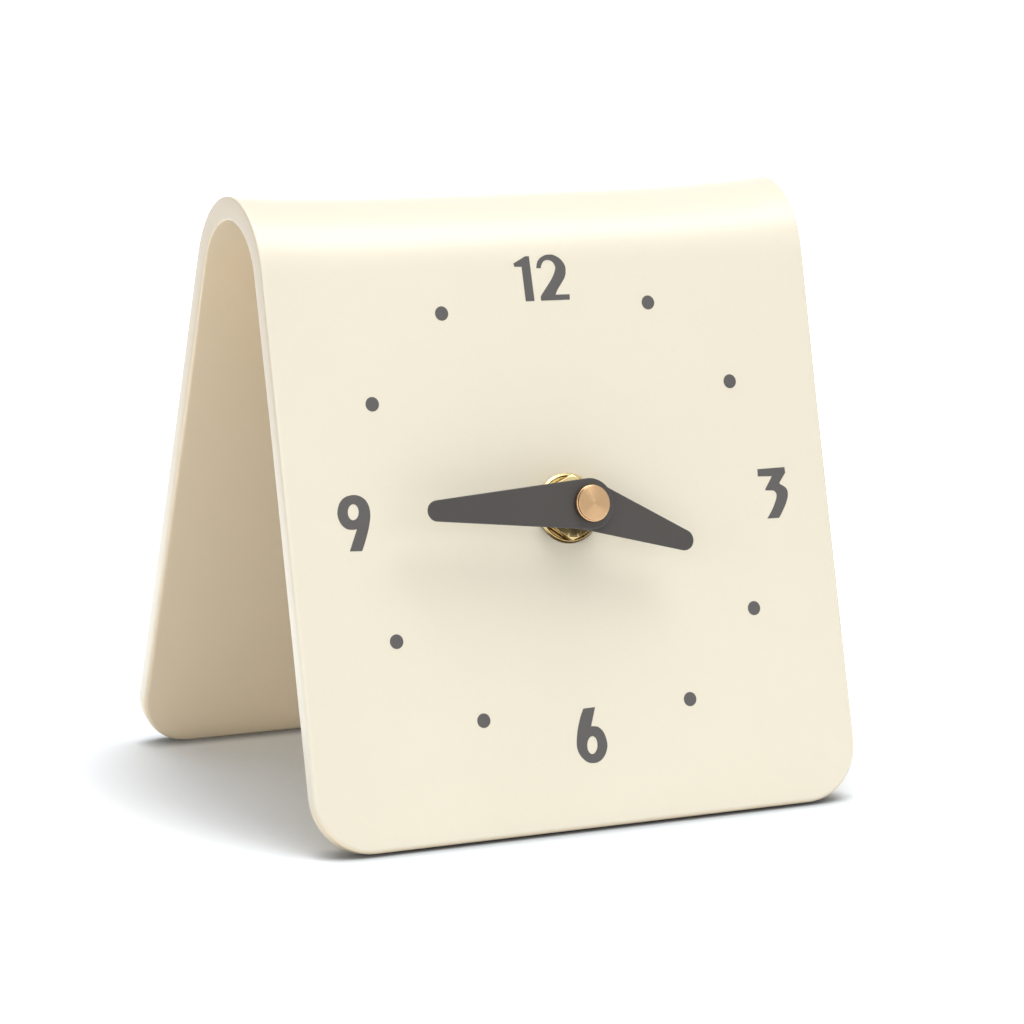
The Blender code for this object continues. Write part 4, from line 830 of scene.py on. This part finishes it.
def bushShape(s):
    # A tube whose outside is a screw: the radius dips by the thread's depth once a pitch, and the dip climbs
    # one pitch in each turn. The thread runs out before the end face.
    angle = np.linspace(0, 2 * np.pi, s["steps"], endpoint=False)[None, :]
    height = np.arange(s["low"], s["top"] - s["lead"], s["pitch"] / s["pitchSteps"])[:, None]
    turn = np.mod(height / s["pitch"] - angle / (2 * np.pi), 1.0)
    dip = s["thread"] * np.clip(s["root"] - s["flank"] * np.abs(turn - 0.5), 0, 1)
    outer = s["radius"] - dip
    lines = [
        (s["bore"] + 0 * angle, s["low"] + 0 * angle),
        *[(outer[k:k + 1], height[k] + 0 * angle) for k in range(len(height))],
        (s["radius"] - s["lead"] + 0 * angle, s["top"] + 0 * angle),
        (s["bore"] + s["boreChamfer"] + 0 * angle, s["top"] + 0 * angle),
        (s["bore"] + 0 * angle, s["top"] - s["boreChamfer"] + 0 * angle),
    ]
    radius = np.vstack([line[0] for line in lines])
    height = np.vstack([line[1] for line in lines])
    points = np.stack([radius * np.cos(angle), radius * np.sin(angle), height], -1).reshape(-1, 3)
    return onDial(points), quads(len(lines), s["steps"], True, True)


makePiece(
    "dial_washer", washerShape(dialHardware["washer"]), "clock_body", finishes["washerBrass"],
    ("washer",),
)
makePiece(
    "brass_hex_nut", nutShape(dialHardware["nut"]), "clock_body", finishes["nutBrass"], ("hex_nut",),
    sharp=20.0, bevel=0.07,
)
makePiece(
    "threaded_tube", bushShape(dialHardware["bush"]), "clock_body", finishes["nutBrass"],
    ("threaded_bush",), sharp=60.0,
)
print("washer, nut and bush made")


# Hands
hands = {
    "hour": {
        "reach": 27.2, "angle": 112.4, "low": 9.2, "bore": 2.5, "body": "hour_body", "node": "hour_hand"
    },
    "minute": {
        "reach": 39.1, "angle": 271.6, "low": 10.7, "bore": 1.7, "body": "minute_body", "node": "minute_hand"
    },
    "hub": 5.6,
    "tip": 2.3,
    "thickness": 0.6,
    "edge": 0.2,
    "boreMargin": 0.25,
    "edgeSteps": 5,
}


def handOutline(hub, tip, distance, count=72):
    # Two circles joined by the straight lines that touch both, once round from the hub's side.
    lean = np.arccos((hub - tip) / distance)
    tipTurn = np.linspace(-lean, lean, count // 3)
    hubTurn = np.linspace(lean, 2 * np.pi - lean, count - len(tipTurn))
    small = np.column_stack([distance + tip * np.cos(tipTurn), tip * np.sin(tipTurn)])
    large = np.column_stack([hub * np.cos(hubTurn), hub * np.sin(hubTurn)])
    return np.vstack([small, large])


def handShape(s, hand):
    # The outline carried round the section of the sheet: bore, underside, soft edge, top and bore again.
    turn = np.linspace(0, np.pi / 2, s["edgeSteps"])
    rise = s["edge"] * (1 - np.cos(turn))
    inset = s["edge"] * (1 - np.sin(turn))
    margin = [s["edge"] + s["boreMargin"]]
    insets = np.concatenate([margin, inset, inset[::-1], margin])
    heights = np.concatenate([[0], rise, s["thickness"] - rise[::-1], [s["thickness"]]])
    loops = [handOutline(s["hub"] - i, s["tip"] - i, hand["reach"] - s["tip"]) for i in insets]
    angle = np.arctan2(loops[0][:, 1], loops[0][:, 0])
    bore = hand["bore"] * np.column_stack([np.cos(angle), np.sin(angle)])
    loops = [bore, *loops, bore]
    heights = np.concatenate([[0], heights, [s["thickness"]]])
    points = np.vstack([np.column_stack([loop, 0 * loop[:, 0] + z]) for loop, z in zip(loops, heights)])
    clock = np.radians(90 - hand["angle"])
    spin = np.array([[np.cos(clock), np.sin(clock), 0], [-np.sin(clock), np.cos(clock), 0], [0, 0, 1]])
    return onDial(points @ spin + [0, 0, hand["low"]]), quads(len(loops), len(bore), True, True)


for handName in ("hour", "minute"):
    hand = hands[handName]
    makePiece(
        handName + "_pointer", handShape(hands, hand), hand["body"],
        finishes["charcoalLacquer"], (hand["node"],), sharp=60.0,
    )

capNut = {
    "radius": 4.05, "low": 11.6, "top": 13.0, "bore": 1.7, "boreTop": 12.4,
    "faceRadius": 3.78, "faceEdge": 0.12, "step": 0.45, "groove": 0.22, "grooveHeight": 0.2, "shoulder": 0.22,
    "footEdge": 0.05, "grooveEdge": 0.02, "softSteps": 6, "steps": 128,
}


def capShape(s):
    # A turned disc: the face stands on a fine groove, and the body below it has a rounded shoulder.
    ledge = s["top"] - s["step"]
    neck = s["faceRadius"] - s["groove"]
    lip = ledge + s["grooveHeight"]
    corners = [
        (0.0, s["boreTop"]), (s["bore"], s["boreTop"]), (s["bore"], s["low"]), (s["radius"], s["low"]),
        (s["radius"], ledge), (neck, ledge), (neck, lip), (s["faceRadius"], lip), (s["faceRadius"], s["top"]),
        (0.0, s["top"]),
    ]
    foot = s["footEdge"]
    fine = s["grooveEdge"]
    radius = [0, 0, foot, foot, s["shoulder"], fine, fine, fine, s["faceEdge"], 0]
    points, faces = spun(softened(corners, radius, s["softSteps"]), s["steps"], False)
    return onDial(points), faces


makePiece("copper_cap", capShape(capNut), "minute_body", finishes["capCopper"], ("cap_nut",))
print("hands and cap nut made")


# Movement, behind the front leg
movement = {
    # solid, slot, finish and radius of the soft edges
    "case_moulding": ("movement_case", "black_moulding", "blackMoulding", 0.25),
    "cover_moulding": ("rear_cover", "grey_moulding", "greyMoulding", 0.15),
    "contact_positive": ("battery_contact_positive", "bright_steel", "brightSteel", 0.06),
    "contact_negative": ("battery_contact_negative", "bright_steel", "brightSteel", 0.06),
}
for pieceName, (solid, slot, finish, edge) in movement.items():
    softCopy(pieceName, solid, "clock_body", finishes[finish], edge)

knob = {
    "centre": (-4.226, 9.063), "radius": 5.6, "top": -22.1, "low": -25.5, "ridges": 20, "ridgeDepth": 0.4,
    "edge": 0.35, "dish": 0.5, "dishRadius": 3.6, "dishSlope": 0.5, "dishEdge": 0.2,
    "crispness": 2.2,  # how steeply a ridge's side rises
    "ridgeSteps": 16, "softSteps": 5,
}


def knobShape(s):
    # A dished disc whose side swells and sinks as it goes round, once for each ridge.
    corners = [
        (0.0, s["top"]), (s["radius"], s["top"]), (s["radius"], s["low"]),
        (s["dishRadius"] + s["dishSlope"], s["low"]), (s["dishRadius"], s["low"] + s["dish"]),
        (0.0, s["low"] + s["dish"]),
    ]

    def ridge(angle, radius):
        wave = 0.5 - 0.5 * np.clip(s["crispness"] * np.cos(angle * s["ridges"]), -1, 1)
        return -s["ridgeDepth"] * wave * (radius > s["radius"] - 2 * s["edge"])

    radius = [0, s["edge"], s["edge"], s["dishEdge"], s["dishEdge"], 0]
    profile = softened(corners, radius, s["softSteps"])
    points, faces = spun(profile, s["ridges"] * s["ridgeSteps"], False, ridge)
    return onDial(points, s["centre"]), faces


makePiece(
    "knob_moulding", knobShape(knob), "setting_body", finishes["blackMoulding"],
    ("setting_knob",),
)

battery = {
    "axis": (-19.2, -14.7),  # up the slope and out of the dial
    "radius": 7.0,
    "length": 50.5,
    "edge": 0.6,
    "rim": 1.4,  # width of the rolled rim round each end
    "rimSlope": 0.3,
    "baseSunk": 0.2,
    "capSunk": 0.5,  # the insulating ring round the nub, below the rim
    "nubRadius": 2.7,
    "nubLength": 1.4,
    "nubFoot": 0.5,
    "nubEdge": 0.4,
    "soft": 0.15,
    "softSteps": 6,
    "steps": 96,
}


def batteryShape(s):
    # A can with a rolled rim round each end, a flat base and a nub, spun about its own length.
    end = s["length"] / 2
    shoulder = end - s["nubLength"]
    ring = shoulder - s["capSunk"]
    rimRadius = s["radius"] - s["rim"]
    corners = [
        (0.0, s["baseSunk"] - end), (rimRadius - s["rimSlope"], s["baseSunk"] - end), (rimRadius, -end),
        (s["radius"], -end), (s["radius"], shoulder), (rimRadius, shoulder),
        (rimRadius - s["rimSlope"], ring),
        (s["nubRadius"] + s["nubFoot"], ring), (s["nubRadius"], ring + s["rimSlope"]), (s["nubRadius"], end),
        (0.0, end),
    ]
    soft = s["soft"]
    radius = [0, soft, soft, s["edge"], s["edge"], soft, soft, soft, soft, s["nubEdge"], 0]
    points, faces = spun(softened(corners, radius, s["softSteps"]), s["steps"], False)
    points = points[:, [2, 0, 1]] + [0.0, *s["axis"]]
    return onDial(points), faces


makePiece(
    "battery_cell", batteryShape(battery), "clock_body", finishes["batterySleeve"],
    ("battery",),
)
print("movement made")

# The solids that keep their CAD shape, by finish
solids = {
    "blackRubber": ("rubber_gasket",),
    "whiteAcetal": (
        "train_plate", "hour_wheel", "transfer_wheel", "intermediate_wheel", "seconds_wheel", "third_wheel",
        "centre_wheel",
    ),
    "brightSteel": ("stator", "coil_core", "quartz_crystal", "rotor_pinion", "clutch_spring"),
    "naturalNylon": ("coil_bobbin",),
    "copperWire": ("coil_winding",),
    "circuitBoard": ("circuit_board",),
    "blackResin": ("driver_chip",),
    "shaftBrass": ("minute_shaft",),
    "magnet": ("rotor_magnet",),
}
for finish, nodeNames in solids.items():
    for nodeName in nodeNames:
        node = frame["nodes"][nodeName]
        node.data.materials.clear()
        node.data.materials.append(finishes[finish])
print("finishes given to the inner solids")


# Floor and light
studio = {
    "floorRadius": 4000.0,
    "floorRings": 25,
    "floorSteps": 96,
    "floorDip": 40.0,  # of its rim
    "floorDipPower": 8,
    "floorGap": 0.02,  # between the floor and the object's foot
    "floorGrain": 2.0,
    "floorGrainTone": 0.99,
    "floorColour": (0.9, 0.94, 0.98),
    "glowStart": 62.0,
    "glowEnd": 155.0,
    "paintedShadowReach": 6.0,
    "paintedShadowOpen": 0.4,  # share of open sky under which the painted contact shadow is darkest
    "paintedShadowDark": 0.35,
    "skyLevel": 0.38,
    "lamps": {
        # place, where it points, width and height, and the light it gives there as a share of white
        "key": ((400.0, -420.0, 2740.0), (0.0, 0.0, 60.0), (1500.0, 3000.0), 0.83),
        "side": ((-1400.0, -1100.0, 400.0), (0.0, 0.0, 60.0), (1700.0, 1100.0), 0.28),
        "back": ((500.0, 1500.0, 260.0), (0.0, 0.0, 60.0), (1600.0, 700.0), 0.14),
    },
}


def seenRay(shade):
    # 1 for a ray from the camera, a reflection or a view through something clear, and 0 for all others.
    path = shade.tree.nodes.new("ShaderNodeLightPath").outputs
    kinds = ("Camera", "Glossy", "Transmission")
    direct, glossy, clear = (Shade(shade.tree, path["Is " + kind + " Ray"]) for kind in kinds)
    return direct + glossy + clear


def studioFloor(s):
    # A disc of rings whose rim dips a little.
    share = np.linspace(0, 1, s["floorRings"])[::-1]
    fall = s["floorDip"] * share ** s["floorDipPower"]
    return spun(np.column_stack([s["floorRadius"] * share, -fall - s["floorGap"]]), s["floorSteps"], False)


def floorMaterial(s):
    # Plain pale floor. To the camera and in reflections it also glows away from the object, so that it clips
    # to white outside the shadow.
    material = bpy.data.materials.new("studio_floor")
    material.use_nodes = True
    tree = material.node_tree
    tree.nodes.clear()
    shade = Shade(tree)
    spot = place(shade)
    away = shade.node("VectorMath", {"operation": "LENGTH"}, {0: spot}, output=1)
    glow = between(shade, away, s["glowStart"] * mm, s["glowEnd"] * mm)
    # close under the object a painted contact shadow darkens the floor, deeper where a spot sees less open
    # sky
    clear = shade.node("AmbientOcclusion", {"samples": 8}, {"Distance": s["paintedShadowReach"] * mm}, output=1)
    contact = between(shade, clear, s["paintedShadowOpen"], 1.0, s["paintedShadowDark"], 1.0)
    grain = noise(shade, s["floorGrain"], 2)
    # the painted contact shadow darkens both the floor's colour and its glow
    grain = between(shade, grain, *texture["spread"], s["floorGrainTone"], 1.0) * contact
    red, green, blue = (grain * share for share in s["floorColour"])
    colour = shade.node("CombineColor", sockets={0: red, 1: green, 2: blue})
    matt = shade.node("BsdfDiffuse", sockets={"Color": colour})
    lit = shade.node("Emission", sockets={"Color": (1, 1, 1, 1), "Strength": seenRay(shade) * glow * contact})
    both = shade.node("AddShader", sockets={0: matt, 1: lit})
    output = tree.nodes.new("ShaderNodeOutputMaterial")
    tree.links.new(both.socket, output.inputs[0])
    return material


def studioSky(s):
    # White where the camera or a reflection looks, and a plain even light for everything else.
    world = bpy.data.worlds.new("studio")
    bpy.context.scene.world = world
    world.use_nodes = True
    tree = world.node_tree
    tree.nodes.clear()
    shade = Shade(tree)
    level = between(shade, seenRay(shade), 0.0, 1.0, s["skyLevel"], 1.0)
    sky = shade.node("Background", sockets={"Color": (1, 1, 1, 1), "Strength": level})
    output = tree.nodes.new("ShaderNodeOutputWorld")
    tree.links.new(sky.socket, output.inputs[0])


def addLamp(name, spot, target, size, level):
    # An area lamp that gives its target the light of a white sky of that level, from one side.
    spot = np.array(spot) * mm
    target = np.array(target) * mm
    away = target - spot
    distance = np.linalg.norm(away)
    data = bpy.data.lights.new(name, "AREA")
    data.shape = "RECTANGLE"
    data.size, data.size_y = np.array(size) * mm
    data.energy = level * np.pi**2 * distance**2
    forward = away / distance
    right = np.cross(forward, [0, 0, 1])
    right = right / np.linalg.norm(right)
    up = np.cross(right, forward)
    lamp = bpy.data.objects.new(name, data)
    rows = np.column_stack([right, up, -forward, spot])
    lamp.matrix_world = Matrix(np.vstack([rows, [0, 0, 0, 1]]).tolist())
    bpy.context.scene.collection.objects.link(lamp)


floorPoints, floorFaces = studioFloor(studio)
floorMesh = bpy.data.meshes.new("studio_floor")
floorMesh.from_pydata((floorPoints * mm).tolist(), [], floorFaces.tolist())
floorMesh.polygons.foreach_set("use_smooth", np.ones(len(floorMesh.polygons), bool))
floorMesh.materials.append(floorMaterial(studio))
floor = bpy.data.objects.new("studio_floor", floorMesh)
bpy.context.scene.collection.objects.link(floor)
studioSky(studio)
for lampName, lamp in studio["lamps"].items():
    addLamp(lampName, *lamp)
bpy.context.scene.view_settings.view_transform = "Standard"
print("floor and light set")
